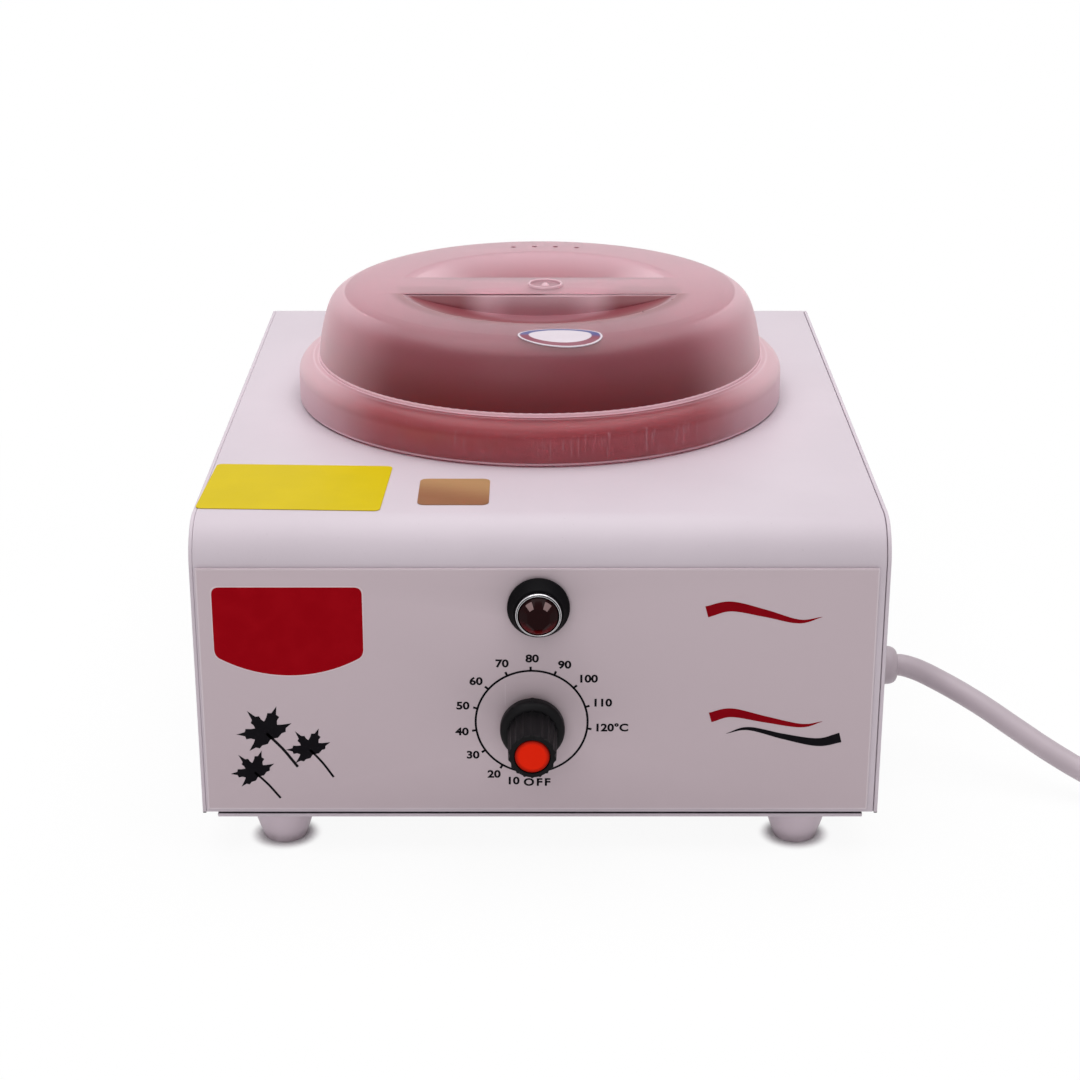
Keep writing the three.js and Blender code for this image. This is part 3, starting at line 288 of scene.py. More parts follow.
# Modelling by hand: every helper leaves one finished object active, at the origin
def object_mode():
    if bpy.context.object and bpy.context.object.mode != "OBJECT":
        bpy.ops.object.mode_set(mode="OBJECT")


def pick(*objects):
    """Selects these objects alone, the last of them active."""
    object_mode()
    bpy.ops.object.select_all(action="DESELECT")
    for piece in objects:
        piece.select_set(True)
        bpy.context.view_layer.objects.active = piece


def edit(piece, select="SELECT"):
    pick(piece)
    bpy.ops.object.mode_set(mode="EDIT")
    bpy.ops.mesh.select_mode(type="VERT")
    bpy.ops.mesh.select_all(action=select)


def draw(points):
    """A line of edges through places, drawn by extruding one corner; stays in edit mode."""
    pick()
    bpy.ops.mesh.primitive_plane_add(size=MM, location=(0, 0, 0))
    edit(bpy.context.object)
    bpy.ops.mesh.merge(type="CENTER")
    bpy.ops.transform.translate(value=points[0])
    for before, after in zip(points, points[1:]):
        bpy.ops.mesh.extrude_region_move(TRANSFORM_OT_translate={"value": after - before})
    bpy.ops.mesh.select_all(action="SELECT")


def close_up():
    """Merges what meets, turns the faces outwards and leaves edit mode."""
    bpy.ops.mesh.select_all(action="SELECT")
    bpy.ops.mesh.remove_doubles(threshold=JOINED * MM)
    bpy.ops.mesh.normals_make_consistent(inside=False)
    bpy.ops.object.mode_set(mode="OBJECT")
    return bpy.context.object


JOINED = 0.002  # corners nearer than this are one
AXES = {  # the way a turned piece grows, and the way its radius is drawn
    "up": (Vector((0, 0, 1)), Vector((1, 0, 0))),
    "down": (Vector((0, 0, -1)), Vector((1, 0, 0))),
    "front": (Vector((0, -1, 0)), Vector((0, 0, 1))),
    "back": (Vector((0, 1, 0)), Vector((0, 0, 1))),
    "right": (Vector((1, 0, 0)), Vector((0, 0, 1))),
}


def turned(profile, centre, axis="up", steps=96):
    """Spins a profile of radius and height about an axis; it ends on the axis or closes."""
    along, across = AXES[axis]
    start = spot(*centre)
    draw([start + (across * radius + along * height) * MM for radius, height in profile])
    bpy.ops.mesh.spin(steps=steps, angle=TURN, center=start, axis=along)
    return close_up()


def plate(points, thickness):
    """A flat outline filled and pulled to a thickness, which is a way in millimetres."""
    draw([spot(*point) for point in [*points, points[0]]])
    bpy.ops.mesh.remove_doubles(threshold=JOINED * MM)
    bpy.ops.mesh.edge_face_add()
    bpy.ops.mesh.extrude_region_move(TRANSFORM_OT_translate={"value": Vector(thickness) * MM})
    return close_up()


def rod(radius, start, end, axis="up", steps=48):
    """A plain cylinder for cutting, from one height on its axis to the other."""
    (x, y, z), reach = start, end
    return turned([(0, 0), (radius, 0), (radius, reach), (0, reach)], (x, y, z), axis, steps)


def apply_modifier(piece, kind, **settings):
    pick(piece)
    modifier = piece.modifiers.new(kind.title(), kind)
    for setting, value in settings.items():
        setattr(modifier, setting, value)
    bpy.ops.object.modifier_apply(modifier=modifier.name)
    return piece


def combine(piece, tool, operation="DIFFERENCE"):
    """Cuts a piece by a tool, or joins them, and throws the tool away."""
    apply_modifier(piece, "BOOLEAN", object=tool, operation=operation, solver="EXACT")
    bpy.data.objects.remove(tool)
    return piece


def soften(piece, width, segments=3, angle=30):
    """Rounds the edges that are sharper than an angle."""
    return apply_modifier(
        piece, "BEVEL", width=width * MM, segments=segments, limit_method="ANGLE",
        angle_limit=math.radians(angle), use_clamp_overlap=True,
    )


def join(*pieces):
    if len(pieces) > 1:
        pick(*pieces)
        bpy.ops.object.join()
    return bpy.context.object


def arc(across, up, radius, start, end, steps=8, rise=None):
    """Points round a centre, from one angle in degrees to another, both ends included."""
    angles = [math.radians(start + (end - start) * i / steps) for i in range(steps + 1)]
    tall = radius if rise is None else rise
    return [(across + radius * math.cos(a), up + tall * math.sin(a)) for a in angles]


def smooth_line(points, steps, onward=None):
    """A Catmull-Rom curve through points, led on straight at its ends or in a way of its own."""
    knots = [Vector(point) for point in points]
    after = 2 * knots[-1] - knots[-2] if onward is None else knots[-1] + Vector(onward)
    knots = [2 * knots[0] - knots[1], *knots, after]
    line = []
    for a, b, c, d in zip(knots, knots[1:], knots[2:], knots[3:]):
        for i in range(steps):
            t = i / steps
            line.append(0.5 * (2 * b + (c - a) * t + (2 * a - 5 * b + 4 * c - d) * t**2
                               + (3 * b - a - 3 * c + d) * t**3))
    return [*line, knots[-2]]


def settle(piece, turn, x, y, z):
    """Turns and moves a finished flat piece, and applies its place to its mesh."""
    piece.rotation_euler = turn
    piece.location = spot(x, y, z)
    pick(piece)
    bpy.ops.object.transform_apply(location=True, rotation=True, scale=True)
    return piece


UPRIGHT = (math.pi / 2, 0, 0)  # turns a piece drawn flat to face the front
MADE = {}  # materials, each by the function that makes it


def finish(piece, name, paint, slot, *replaced, body="root", smooth=30):
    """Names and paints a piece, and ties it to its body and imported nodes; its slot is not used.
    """
    piece.name = piece.data.name = name
    piece.data.materials.clear()
    piece.data.materials.append(painted(paint))
    if piece.type == "MESH":
        pick(piece)
        bpy.ops.object.shade_smooth_by_angle(angle=math.radians(smooth))
    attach(piece, body)
    if replaced:
        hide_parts(*replaced)
    return piece


def painted(paint):
    """The material that a function makes, made once."""
    if paint not in MADE:
        MADE[paint] = paint()
    return MADE[paint]


# Finishes
def white_lead():
    """Smooth soft plastic with a slight waviness."""
    p = Paint("white lead plastic")
    patch = p.noise(18, detail=2)
    tone = p.patched(p.look.lead, 0.92, patch.rise(0.3, 0.7))
    ripple = p.bump(p.noise(2.5, detail=2), 0.05)
    return p.surface(tone, 0.38 + 0.1 * patch, ripple)


def pale_floor():
    """White to the camera and to reflections, and darker only where the heater shades it."""
    p = Paint("pale floor")
    foot = middle("foot_rear_right")
    across, back, _ = p.axes(centre=(0, DEPTH / 2, 0))
    away = apart(across, back)
    aside, behind = across.absolute() - foot.x, back.absolute() - (foot.y - DEPTH / 2)
    under = 1 - apart(aside, behind).rise(*FOOT_SHADE)
    clear = away.rise(SHADE_REACH / 2, SHADE_REACH) * (1 - SHADE_KEPT) + SHADE_KEPT
    clear = clear * (1 - under)
    lit = p.node("ShaderNodeBsdfDiffuse", {}, Color=(0.95, 0.95, 0.95))
    white = p.node("ShaderNodeEmission", {}, Color=(1, 1, 1), Strength=1)
    return p.show(p.node("ShaderNodeMixShader", {}, p.seen() * clear, lit, white))


def white_paint():
    """Powder paint: a fine orange peel, faint patches, darker patches near the foot, and a painted
    shadow in the gap above the base plate.
    """
    p = Paint("white paint")
    _, back, up = p.axes()
    cloud = p.noise(60, detail=4)
    tone = p.patched(p.look.paint, 0.965, cloud.rise(0.35, 0.7))
    speck = p.noise(1.1, detail=1) > 0.76
    tone = p.mix(speck * 0.12, tone, (0.35, 0.3, 0.32))
    # darker in patches towards the foot of the housing
    foot = 1 - up.rise(COVER_FOOT, COVER_FOOT + DARKENING_HEIGHT)
    tone = p.mix(foot * cloud * 0.25, tone, p.look.low_darkening)
    # painted shadow: near-black where the gap between the cover and the base plate lies
    gap = (up > BASE_HIGH.z - HAIR) * (up < COVER_FOOT - HAIR) * (back < GAP_SHADOW_DEPTH)
    tone = p.mix(gap * 0.9, tone, p.look.black)
    peel = p.bump(p.noise(1.6, detail=2), 0.035)
    rough = 0.42 + 0.1 * p.noise(14, detail=3)
    return p.surface(tone, rough, peel, Specular_IOR_Level=0.3)


DARKENING_HEIGHT = 9  # how high the darker patches reach on the housing
GAP_SHADOW_DEPTH = 6  # how far back the painted shadow in the gap between cover and base is seen
HAIR = 0.05  # keeps a mask off the face beside it


def overlay_plastic():
    """Glossy printed plastic sheet, a little brighter towards its top as painted light, with a hair
    scratch and a painted highlight along its cut edge.
    """
    p = Paint("front overlay plastic")
    across, _, up = p.axes()
    # painted light: the sheet is a little brighter towards its top
    height = up.rise(OVERLAY_LOW.z, OVERLAY_HIGH.z)
    tone = p.patched(p.look.overlay, 1.03, height)
    # painted highlight along the cut edge, fainter along its top
    sides = (across - (OVERLAY_LOW.x + OVERLAY_HIGH.x) / 2).absolute()
    edge_highlight_x = sides > (OVERLAY_HIGH.x - OVERLAY_LOW.x) / 2 - EDGE_HIGHLIGHT
    middle_up = (OVERLAY_LOW.z + OVERLAY_HIGH.z) / 2
    edge_highlight_z = (up - middle_up).absolute() > (OVERLAY_HIGH.z - OVERLAY_LOW.z) / 2 - EDGE_HIGHLIGHT
    edge_highlight_top = edge_highlight_z * (up > middle_up)
    tone = p.mix((edge_highlight_x + edge_highlight_z - 0.7 * edge_highlight_top).clamped() * 0.6, tone, p.look.overlay_edge)
    scratch = (up > SCRATCH_LOW) * (up < SCRATCH_HIGH)
    scratch = across.near(SCRATCH_X, SCRATCH_HALF) * scratch
    tone = p.mix(scratch * 0.35, tone, p.look.overlay_edge)
    rough = 0.3 + 0.06 * p.noise(5, detail=4, stretch=(3, 1, 0.6))
    waves = p.bump(p.noise(45, detail=1), 0.08)
    return p.surface(tone, rough, waves, Specular_IOR_Level=0.25)


EDGE_HIGHLIGHT = 0.55  # width of the painted highlight along the overlay's cut edge
SCRATCH_X = -11.5  # a fine upright scratch beside the knob, and its two ends
SCRATCH_LOW = 56
SCRATCH_HIGH = 64
SCRATCH_HALF = 0.12  # half its width


def foot_plastic():
    p = Paint("foot plastic")
    _, _, up = p.axes()
    # darker in patches towards the floor
    tone = p.mix((1 - up.rise(0, 5)) * p.noise(4), p.look.foot, p.look.low_darkening)
    return p.surface(tone, 0.4 + 0.12 * p.noise(3), p.bump(p.noise(0.8), 0.03))


def screw_steel():
    p = Paint("zinc plated steel")
    patch = p.noise(1.5, detail=4)
    tone = p.mix(patch, (0.62, 0.62, 0.6), (0.42, 0.42, 0.41))
    return p.surface(tone, 0.25 + 0.2 * patch, p.bump(patch, 0.02), Metallic=1)


def yellow_paper():
    """Printed paper label."""
    p = Paint("yellow label")
    fibre = p.noise(0.7, detail=4)
    cloud = p.noise(20, detail=2)
    tone = p.patched(p.look.yellow, 0.95, cloud.rise(0.3, 0.7))
    return p.surface(tone, 0.45 + 0.1 * fibre,
                     p.bump(p.noise(9, detail=2), 0.05, normal=p.bump(fibre, 0.005)),
                     Specular_IOR_Level=0.1)


def gold_foil():
    """Brushed metal foil with a painted reflection: a soft diagonal band of light, painted from its
    dark colour to its bright one.
    """
    p = Paint("gold foil label")
    across, back, _ = p.axes(centre=middle("gold_sticker"))
    # painted reflection: a soft diagonal band of light
    band = (across * 0.35 + back).rise(-9, 12)
    tone = p.mix(band, p.look.gold_deep, p.look.gold)
    brush = p.noise(0.5, detail=3, stretch=(0.06, 1, 1))
    return p.surface(tone, 0.32 + 0.12 * brush,
                     p.bump(brush, 0.01, normal=p.bump(p.noise(7), 0.1)), Metallic=0.55)


def red_enamel():
    """Glossy red coating with fine ripples, and duller patches."""
    p = Paint("red enamel")
    cloud = p.noise(25, detail=3)
    tone = p.patched(p.look.pot, 0.85, cloud.rise(0.35, 0.7))
    return p.surface(tone, 0.24 + 0.16 * p.noise(9, detail=4), p.bump(p.noise(3), 0.05),
                     Coat_Weight=0.3, Coat_Roughness=0.15)


def spun_aluminium():
    """Bare metal with the fine rings that spinning leaves."""
    p = Paint("spun aluminium")
    across, back, up = p.axes(centre=(POT.x, POT.y, 0))
    radius = apart(across, back)
    rings = p.node("ShaderNodeTexNoise", {"noise_dimensions": "1D"}, W=(radius + up) * 1.7,
                   Scale=1, Detail=3)
    patch = p.noise(12, detail=3)
    tone = p.mix(patch, (0.66, 0.67, 0.68), (0.48, 0.48, 0.5))
    return p.surface(tone, 0.3 + 0.2 * rings, p.bump(rings, 0.03), Metallic=1)


def frosted_lid():
    """Frosted rosy plastic, half clear: a painted wine-red shade where it is steep and in the front
    recess, painted pale light on its top and sides, and painted highlights on its edges.
    """
    p = Paint("frosted plastic")
    size = Sizes("heater_lid")
    across, back, up = p.axes(centre=(POT.x, POT.y, 0))
    reach = apart(across, back)
    depth = lid_top(size) - up
    step = size.skirt - size.shoulder
    foot = TOP + size.skirt_height
    on_skirt = reach > step + 0.2
    rear_light = back.rise(*REAR_LIGHT_SPAN)

    # its colour: the dome's wall, a painted deep shade at its foot and painted pale light towards
    # its top, the skirt, and faint clouds over both
    wall = p.mix(up.rise(foot, foot + DOME_SHADE_HEIGHT), p.look.lid_low, p.look.lid)
    high = up.rise(*[foot + height for height in DOME_PAINTED_LIGHT]) * (0.4 + 0.6 * rear_light)
    wall = p.mix(high, wall, p.look.lid_top)
    skirt = up.rise(*[TOP + height for height in SHOULDER_STARTS])
    skirt = p.mix(skirt, p.look.lid_skirt, p.look.lid_shoulder)
    tone = p.mix(on_skirt, wall, skirt)
    cloud = p.noise(30, detail=3)
    tone = p.mix(cloud.rise(0.3, 0.7) * 0.08, tone, LID_CLOUD)
    rough = 0.3 + 0.06 * p.noise(2, detail=3)
    clear = p.shader(tone, rough, p.bump(p.noise(0.35, detail=2), 0.02), IOR=1.3,
                     Transmission_Weight=0.86, Sheen_Weight=0.55, Sheen_Roughness=0.5,
                     Sheen_Tint=SHEEN)

    # painted highlights: two lines at the dome's foot, the hem, the gate, and the edges of the
    # recesses; a faint painted reflection in the rear recess
    lines = reach.near(step, 0.45) * (up > foot - 1.1)
    second = reach.near(step + 1.9, 0.25) * (up > foot - 2.5)
    hem_highlight = (up < TOP + SKIRT_GAP + 0.9) * (reach > size.skirt - 0.8)
    gate = (apart(across - GATE_X, back) < GATE_RADIUS + 0.5) * (depth < -0.15)
    sunk = (reach < size.recess) * (depth > 0.4)
    bowl = sunk * (back < 0)
    lip = bowl * (back > -size.bar / 2 - 0.7) * (0.35 + 0.65 * (depth < 1.3))
    rear_bowl_reflection = sunk * (back > size.bar / 2)
    marks = lines + second * 0.3 + hem_highlight * 0.6 + lip * 0.7 + gate * 0.55 + rear_bowl_reflection * 0.12

    # and where less light comes through: the top and the two sides, paler as painted light, and the
    # skirt's scratches
    top = up.rise(*[foot + height for height in TOP_PAINTED_LIGHT]) * (0.04 + 0.3 * rear_light)
    # painted light: paler towards the left and right
    sides = (across.absolute() / reach).rise(0.6, 1) * (depth > 1) * (0.36 + 0.34 * on_skirt)
    scratch = p.noise(3, detail=3, stretch=(5, 5, 0.25)).rise(0.6, 0.66) * (reach > step)
    factor = (marks + top + sides + scratch * 0.16).clamped()
    pale = p.shader(p.look.lid_light_and_scratch, rough)
    blend = p.node("ShaderNodeMixShader", {}, factor, clear, pale)

    # painted shade: the front recess is deep red in its hollow and along its rim
    hollow = bowl * depth.rise(0.6, 1.2) * reach.rise(22, 33) * 0.85
    rim = (reach > size.recess - 0.5) * (1 - reach.rise(size.recess, size.recess + 5))
    hollow = (hollow + rim * (back < -size.bar / 2) * (depth < 2) * 0.5).clamped()
    deep = p.shader(p.look.lid_recess_shade, rough, Transmission_Weight=0.2)
    return p.show(p.node("ShaderNodeMixShader", {}, hollow, blend, deep))


SHEEN = (1, 0.68, 0.76)  # tint of the frost seen along the surface
LID_CLOUD = (0.2, 0.1, 0.11)
DOME_SHADE_HEIGHT = 17  # the dome's wall turns from its painted deep shade to rosy up to this height over its foot
DOME_PAINTED_LIGHT = (15, 23)  # between these heights over its foot it pales, as painted light
TOP_PAINTED_LIGHT = (18, 24)  # and its top lets less light through between these, paler as painted light
SHOULDER_STARTS = (9, 11)  # heights over the top plate where the skirt's wall turns to its shoulder
REAR_LIGHT_SPAN = (-80, 60)  # from the front to the rear of the pale top, over which its painted light grows, from the pot's middle


def lid_paper():
    """Plain white oval label with a coloured border line."""
    p = Paint("lid label")
    low, high = node_box("lid_sticker")
    across, back, _ = p.axes(centre=middle("lid_sticker"))
    x = across / ((high.x - low.x) / 2)
    y = back / ((high.y - low.y) / 2)
    reach = apart(x, y)
    border = reach.rise(0.72, 0.76) * (1 - reach.rise(0.93, 0.97))
    upper = back.rise(-1.5, 1.5)
    tone = p.mix(upper, p.look.label_border, p.look.label_border_top)
    tone = p.mix(border, p.look.label, tone)
    return p.surface(tone, 0.3 + 0.1 * p.noise(2), p.bump(p.noise(4), 0.04))


def black_plastic():
    """Moulded black plastic, satin, with finger marks."""
    p = Paint("black knob plastic")
    smear = p.noise(4, detail=4)
    tone = p.patched(p.look.black, 1.5, smear.rise(0.4, 0.8))
    return p.surface(tone, 0.38 + 0.15 * smear, p.bump(p.noise(0.5), 0.012),
                     Specular_IOR_Level=0.1)


def lamp_black():
    p = Paint("black lamp plastic")
    smear = p.noise(5, detail=3)
    return p.surface(p.patched(p.look.black, 1.3, smear), 0.48 + 0.1 * smear,
                     p.bump(p.noise(0.8), 0.01), Specular_IOR_Level=0.03)


def orange_cap():
    """Glossy disc, darker towards its rim."""
    p = Paint("orange cap plastic")
    across, _, up = p.axes(centre=KNOB)
    reach = apart(across, up)
    radius = Sizes("heater_knob").cap
    tone = p.mix(reach.rise(radius * 0.72, radius), p.look.cap, p.look.cap_rim)
    return p.surface(tone, 0.28 + 0.1 * p.noise(3, detail=3), p.bump(p.noise(2.5), 0.03),
                     Specular_IOR_Level=0.05)


def chrome():
    """Bright plating, with a painted near-black shade in the groove between the ring's two steps.
    """
    p = Paint("chrome")
    size = Sizes("heater_lamp")
    across, _, up = p.axes(centre=LAMP)
    reach = apart(across, up)
    mark = p.noise(1.2, detail=4)
    tone = p.mix(mark.rise(0.55, 0.8), (0.55, 0.54, 0.56), (0.3, 0.27, 0.27))
    # painted shade in the groove
    groove = reach.near((size.bezel + size.bezel_hole) / 2, GROOVE_SHADE)
    tone = p.mix(groove, tone, (0.03, 0.03, 0.03))
    return p.surface(tone, 0.12 + 0.14 * mark, Metallic=1)


GROOVE_SHADE = 0.12  # half the width of the painted shade in the chrome ring's groove


def red_jewel():
    """Deep red plastic over a dark socket: a painted reflection on two upper facets, and a painted
    glow low in its rim.
    """
    p = Paint("red jewel")
    size = Sizes("heater_lamp")
    across, _, up = p.axes(centre=LAMP)
    reach = apart(across, up)
    # painted light: a red glow low in the rim
    painted_glow = (0 - up).rise(0.5, 5) * reach.rise(size.table - 0.5, size.table + 1.5)
    tone = p.mix(painted_glow, p.look.jewel, p.look.jewel_painted_glow)
    # painted reflection on two upper facets
    facet_reflection = (across.absolute() / up).near(FACET_SLOPE, FACET_SPREAD) * (up > 0)
    lit = facet_reflection * (reach > size.table * 0.97) * (reach < size.jewel * 0.9)
    tone = p.mix(lit * 0.8, tone, p.look.jewel_facet_reflection)
    return p.surface(tone, 0.08 + 0.05 * p.noise(2), Specular_IOR_Level=0.06)


FACET_SLOPE = 0.75  # how far sideways the two facets with a painted reflection lie, of their height over the middle
FACET_SPREAD = 0.33  # and half their spread


def ink(name, colour_name):
    """Screen-printed ink under the front sheet's gloss."""
    p = Paint(name)
    shade = getattr(p.look, colour_name)
    patch = p.noise(6, detail=3)
    tone = p.mix(patch.rise(0.35, 0.75), shade, [min(1.08 * v + 0.001, 1) for v in shade])
    return p.surface(tone, 0.45 + 0.05 * patch, Specular_IOR_Level=0.02)


black_ink = partial(ink, "black ink", "ink")
pale_ink = partial(ink, "pale ink", "badge_edge")
badge_red = partial(ink, "badge red ink", "badge")
wave_red = partial(ink, "wave red ink", "wave")


# Stage: camera, floor, lamps
SHADE_REACH = 420  # how far from the middle the floor still takes a shadow
SHADE_KEPT = 0.93  # how much of the floor is plain white even there
FOOT_SHADE = (7.5, 13)  # the feet's own dark shadow fades from one distance to the other
FLOOR_WIDTH = 12000
CAMERA = {"back": -698.3, "up": 382.3, "lens": 77.22, "sensor": 36, "down": 20.99}
LAMPS = (  # name, place and size in metres
    ("above", (0, 0, 1.5), 1.8),
    ("front", (-0.5, -1.9, 1.1), 1.2),
)
LAMPS_AIM = Vector((0, 0, 0.08))


class HEATER_OT_stage(bpy.types.Operator):
    """Sets up the camera at the photograph's angle, the pale floor and the soft light"""

    bl_idname = "heater.stage"
    bl_label = "Stage"

    def execute(self, context):
        self.add_camera(context.scene)
        self.add_floor()
        self.add_lamps(context.scene)
        self.add_world(context.scene)
        return {"FINISHED"}

    def add_camera(self, scene):
        place = spot(0, CAMERA["back"], CAMERA["up"])
        tilt = math.radians(90 - CAMERA["down"])
        pick()
        bpy.ops.object.camera_add(location=place, rotation=(tilt, 0, 0))
        camera = bpy.context.object
        camera.data.sensor_width = CAMERA["sensor"]
        camera.data.lens = CAMERA["lens"]
        scene.camera = camera
        scene.view_settings.view_transform = "Standard"

    def add_floor(self):
        pick()
        bpy.ops.mesh.primitive_plane_add(size=FLOOR_WIDTH * MM, location=(0, 0, 0))
        floor = bpy.context.object
        floor.name = "floor"
        floor.data.materials.append(painted(pale_floor))

    def add_lamps(self, scene):
        for name, place, size in LAMPS:
            bpy.ops.object.light_add(type="AREA", location=place)
            lamp = bpy.context.object
            lamp.name = "lamp_" + name
            lamp.data.size = size
            lamp.data.energy = getattr(scene.heater_light, name)
            aim = LAMPS_AIM - lamp.location
            lamp.rotation_euler = aim.to_track_quat("-Z", "Y").to_euler()

    def add_world(self, scene):
        p = Paint("studio", "World")
        around = scene.heater_light.around
        strength = around + (1 - around) * p.seen()
        light = p.node("ShaderNodeBackground", {}, Color=(1, 1, 1), Strength=strength)
        scene.world = p.show(light)


# Mains lead: gland, cord in its coil, plug and pins
ROUTE = (  # middle line from the gland to the coil
    (128, 72.5, 37.9), (131, 72.5, 37.9), (134.8, 72.3, 37), (138.9, 71.8, 35.5),
    (143.5, 70.6, 33.5), (149.6, 68.1, 30.9), (155.7, 64.6, 28.3), (161.8, 60.8, 25.5),
    (167.8, 57, 22.4), (173.8, 53.3, 19.3), (179.7, 49.6, 16.3), (185.6, 45.9, 13.6),
    (191.4, 42.3, 11.2), (198.2, 38.1, 8.9), (205, 33.8, 7), (211.8, 29.6, 5.5),
    (218.5, 25.3, 4.6), (223.6, 22.2, 4.35),
)
COIL_X = 264  # the coil's middle, across and back
COIL_BACK = 63
COIL_RADIUS = 56  # of its outer turn's middle line
COIL_ENTRY = math.radians(-122)  # where the cord joins it
COIL_TURNS = 5.34
COIL_STEPS = 24  # of each turn
LAYER = 8.5  # from one turn of the coil to the next, across and up
FLOOR_GAP = 0.3  # under the cord


def coil_line(radius):
    """The coil's middle line: in on the floor, up a layer as it turns back, out on top."""
    whole = COIL_TURNS * TURN
    steps = round(COIL_TURNS * COIL_STEPS)

    def point(angle):
        inward = COIL_RADIUS - LAYER * min(angle, whole - angle) / TURN
        climb = min(max((angle - whole / 2) / math.pi + 0.5, 0), 1)
        climb = climb * climb * (3 - 2 * climb)
        return Vector((
            COIL_X + inward * math.cos(COIL_ENTRY + angle),
            COIL_BACK + inward * math.sin(COIL_ENTRY + angle),
            radius + FLOOR_GAP + LAYER * climb,
        ))

    wound = [point(whole * i / steps) for i in range(steps + 1)]
    little = whole / steps / COIL_STEPS
    ways = [wound[0] - point(little), wound[-1] - point(whole - little)]
    run_in, run_out = [way.normalized() * 2 * radius for way in ways]
    return [wound[0] + run_in, *wound, wound[-1] + run_out]


class HEATER_OT_lead(bpy.types.Operator):
    """Lays the mains cord from its gland into the coil, and adds the gland, plug and pins"""

    bl_idname = "heater.lead"
    bl_label = "Mains lead"

    def execute(self, context):
        size = Sizes("heater_lead")
        line = [Vector(point) for point in ROUTE] + coil_line(size.radius)
        self.add_gland(size)
        self.add_plug(size, line[-1].z)
        self.add_pins(size)
        self.add_cord(line, size.radius)
        return {"FINISHED"}

    def add_cord(self, line, radius):
        curve = bpy.data.curves.new("cord", "CURVE")
        curve.dimensions = "3D"
        curve.bevel_depth = radius * MM
        curve.bevel_resolution = CORD_SIDES
        curve.resolution_u = CORD_STEPS
        curve.use_fill_caps = True
        spline = curve.splines.new("BEZIER")
        spline.bezier_points.add(len(line) - 1)
        for knot, place in zip(spline.bezier_points, line):
            knot.co = spot(*place)
            knot.handle_left_type = knot.handle_right_type = "AUTO"
        cord = bpy.data.objects.new("cord", curve)
        bpy.context.scene.collection.objects.link(cord)
        finish(cord, "mains_cord", white_lead, "white_pvc", "power_cord", "cord_coil")
        spot(*line[0])

    def add_gland(self, size):
        """The moulded gland: a neck through the side panel, a flange and a tapered sleeve."""
        low, high = node_box("cord_gland")
        reach, edge, radius = high.x - SIDE + GLAND_LAP, size.gland_edge, size.gland
        sleeve = [
            (radius * (1 - GLAND_TAPER * t**2), reach * (GLAND_FLANGE + GLAND_SLEEVE * t))
            for t in SLEEVE_STEPS
        ]
        end = sleeve[-1][0]
        profile = [
            (0, low.x - SIDE), (size.neck, low.x - SIDE), (size.neck, LIP_GAP),
            *arc(radius - edge, LIP_GAP + edge, edge, -90, 0, 4), *sleeve,
            *arc(end - GLAND_ROUND, reach * GLAND_MOUTH, GLAND_ROUND, 5, 85, 6,
                 rise=reach * GLAND_NOSE),
            (size.radius + CORD_ROOM, reach), (0, reach),
        ]
        gland = turned(profile, (SIDE, GLAND.y, GLAND.z), "right", steps=64)
        finish(gland, "gland_moulded", white_lead, "white_pvc", "cord_gland")

    def add_plug(self, size, cord_up):
        """The plug: a ribbed sleeve that swells into a rounded body with a flat face."""
        low, high = node_box("plug_body")
        x, back = middle("plug_body").x, low.y - FRONT
        up, down, reach = high.z - cord_up, low.z - cord_up, high.y - low.y
        half = (high.x - low.x) / 2
        rings = []
        for i in range(RIBS):
            along = size.sleeve * i / RIBS
            radius = size.sleeve_end * (1 + SLEEVE_SWELL * i / RIBS)
            for share_along, sink in RIB_SHAPE:
                r = radius - sink * RIB_SINK
                rings.append((along + share_along * size.sleeve / RIBS, r, -r, r, 0))
        r = size.sleeve_end * (1 + SLEEVE_SWELL)
        edge = size.plug_edge
        rings += smooth_line([
            (size.sleeve, r, -r, r, 0),
            *[(size.sleeve + r * along, half * wide, down * deep, up * tall, flat)
              for along, wide, deep, tall, flat in PLUG_SWELL],
            (reach - edge, half, down, up, PLUG_FLAT),
        ], 5)
        for along, inward in ((reach - edge * 0.3, edge * 0.3), (reach, edge)):
            rings.append((along, half - inward, down + inward, up - inward, PLUG_FLAT))
        body = loft([
            [(x + across, back + along, cord_up + rise)
             for across, along, rise in ring_outline(*ring)]
            for ring in rings
        ])
        finish(body, "plug_moulded", white_lead, "white_pvc", "plug_body", smooth=40)

    def add_pins(self, size):
        """The three brass pins, their ends rounded."""
        for name in PINS:
            low, high = node_box(name)
            centre = middle(name)
            radius, reach = (high.x - low.x) / 2, high.y - low.y
            tip, root = size.pin_tip, -2 * LIP_GAP
            rounding = arc(radius - tip, reach - tip, tip, 0, 80, 5)
            profile = [(0, root), (radius, root), *rounding, (0, reach)]
            pin = turned(profile, (centre.x, low.y - FRONT, centre.z), "back", steps=40)
            finish(pin, name + "_turned", brass, "brass", name)


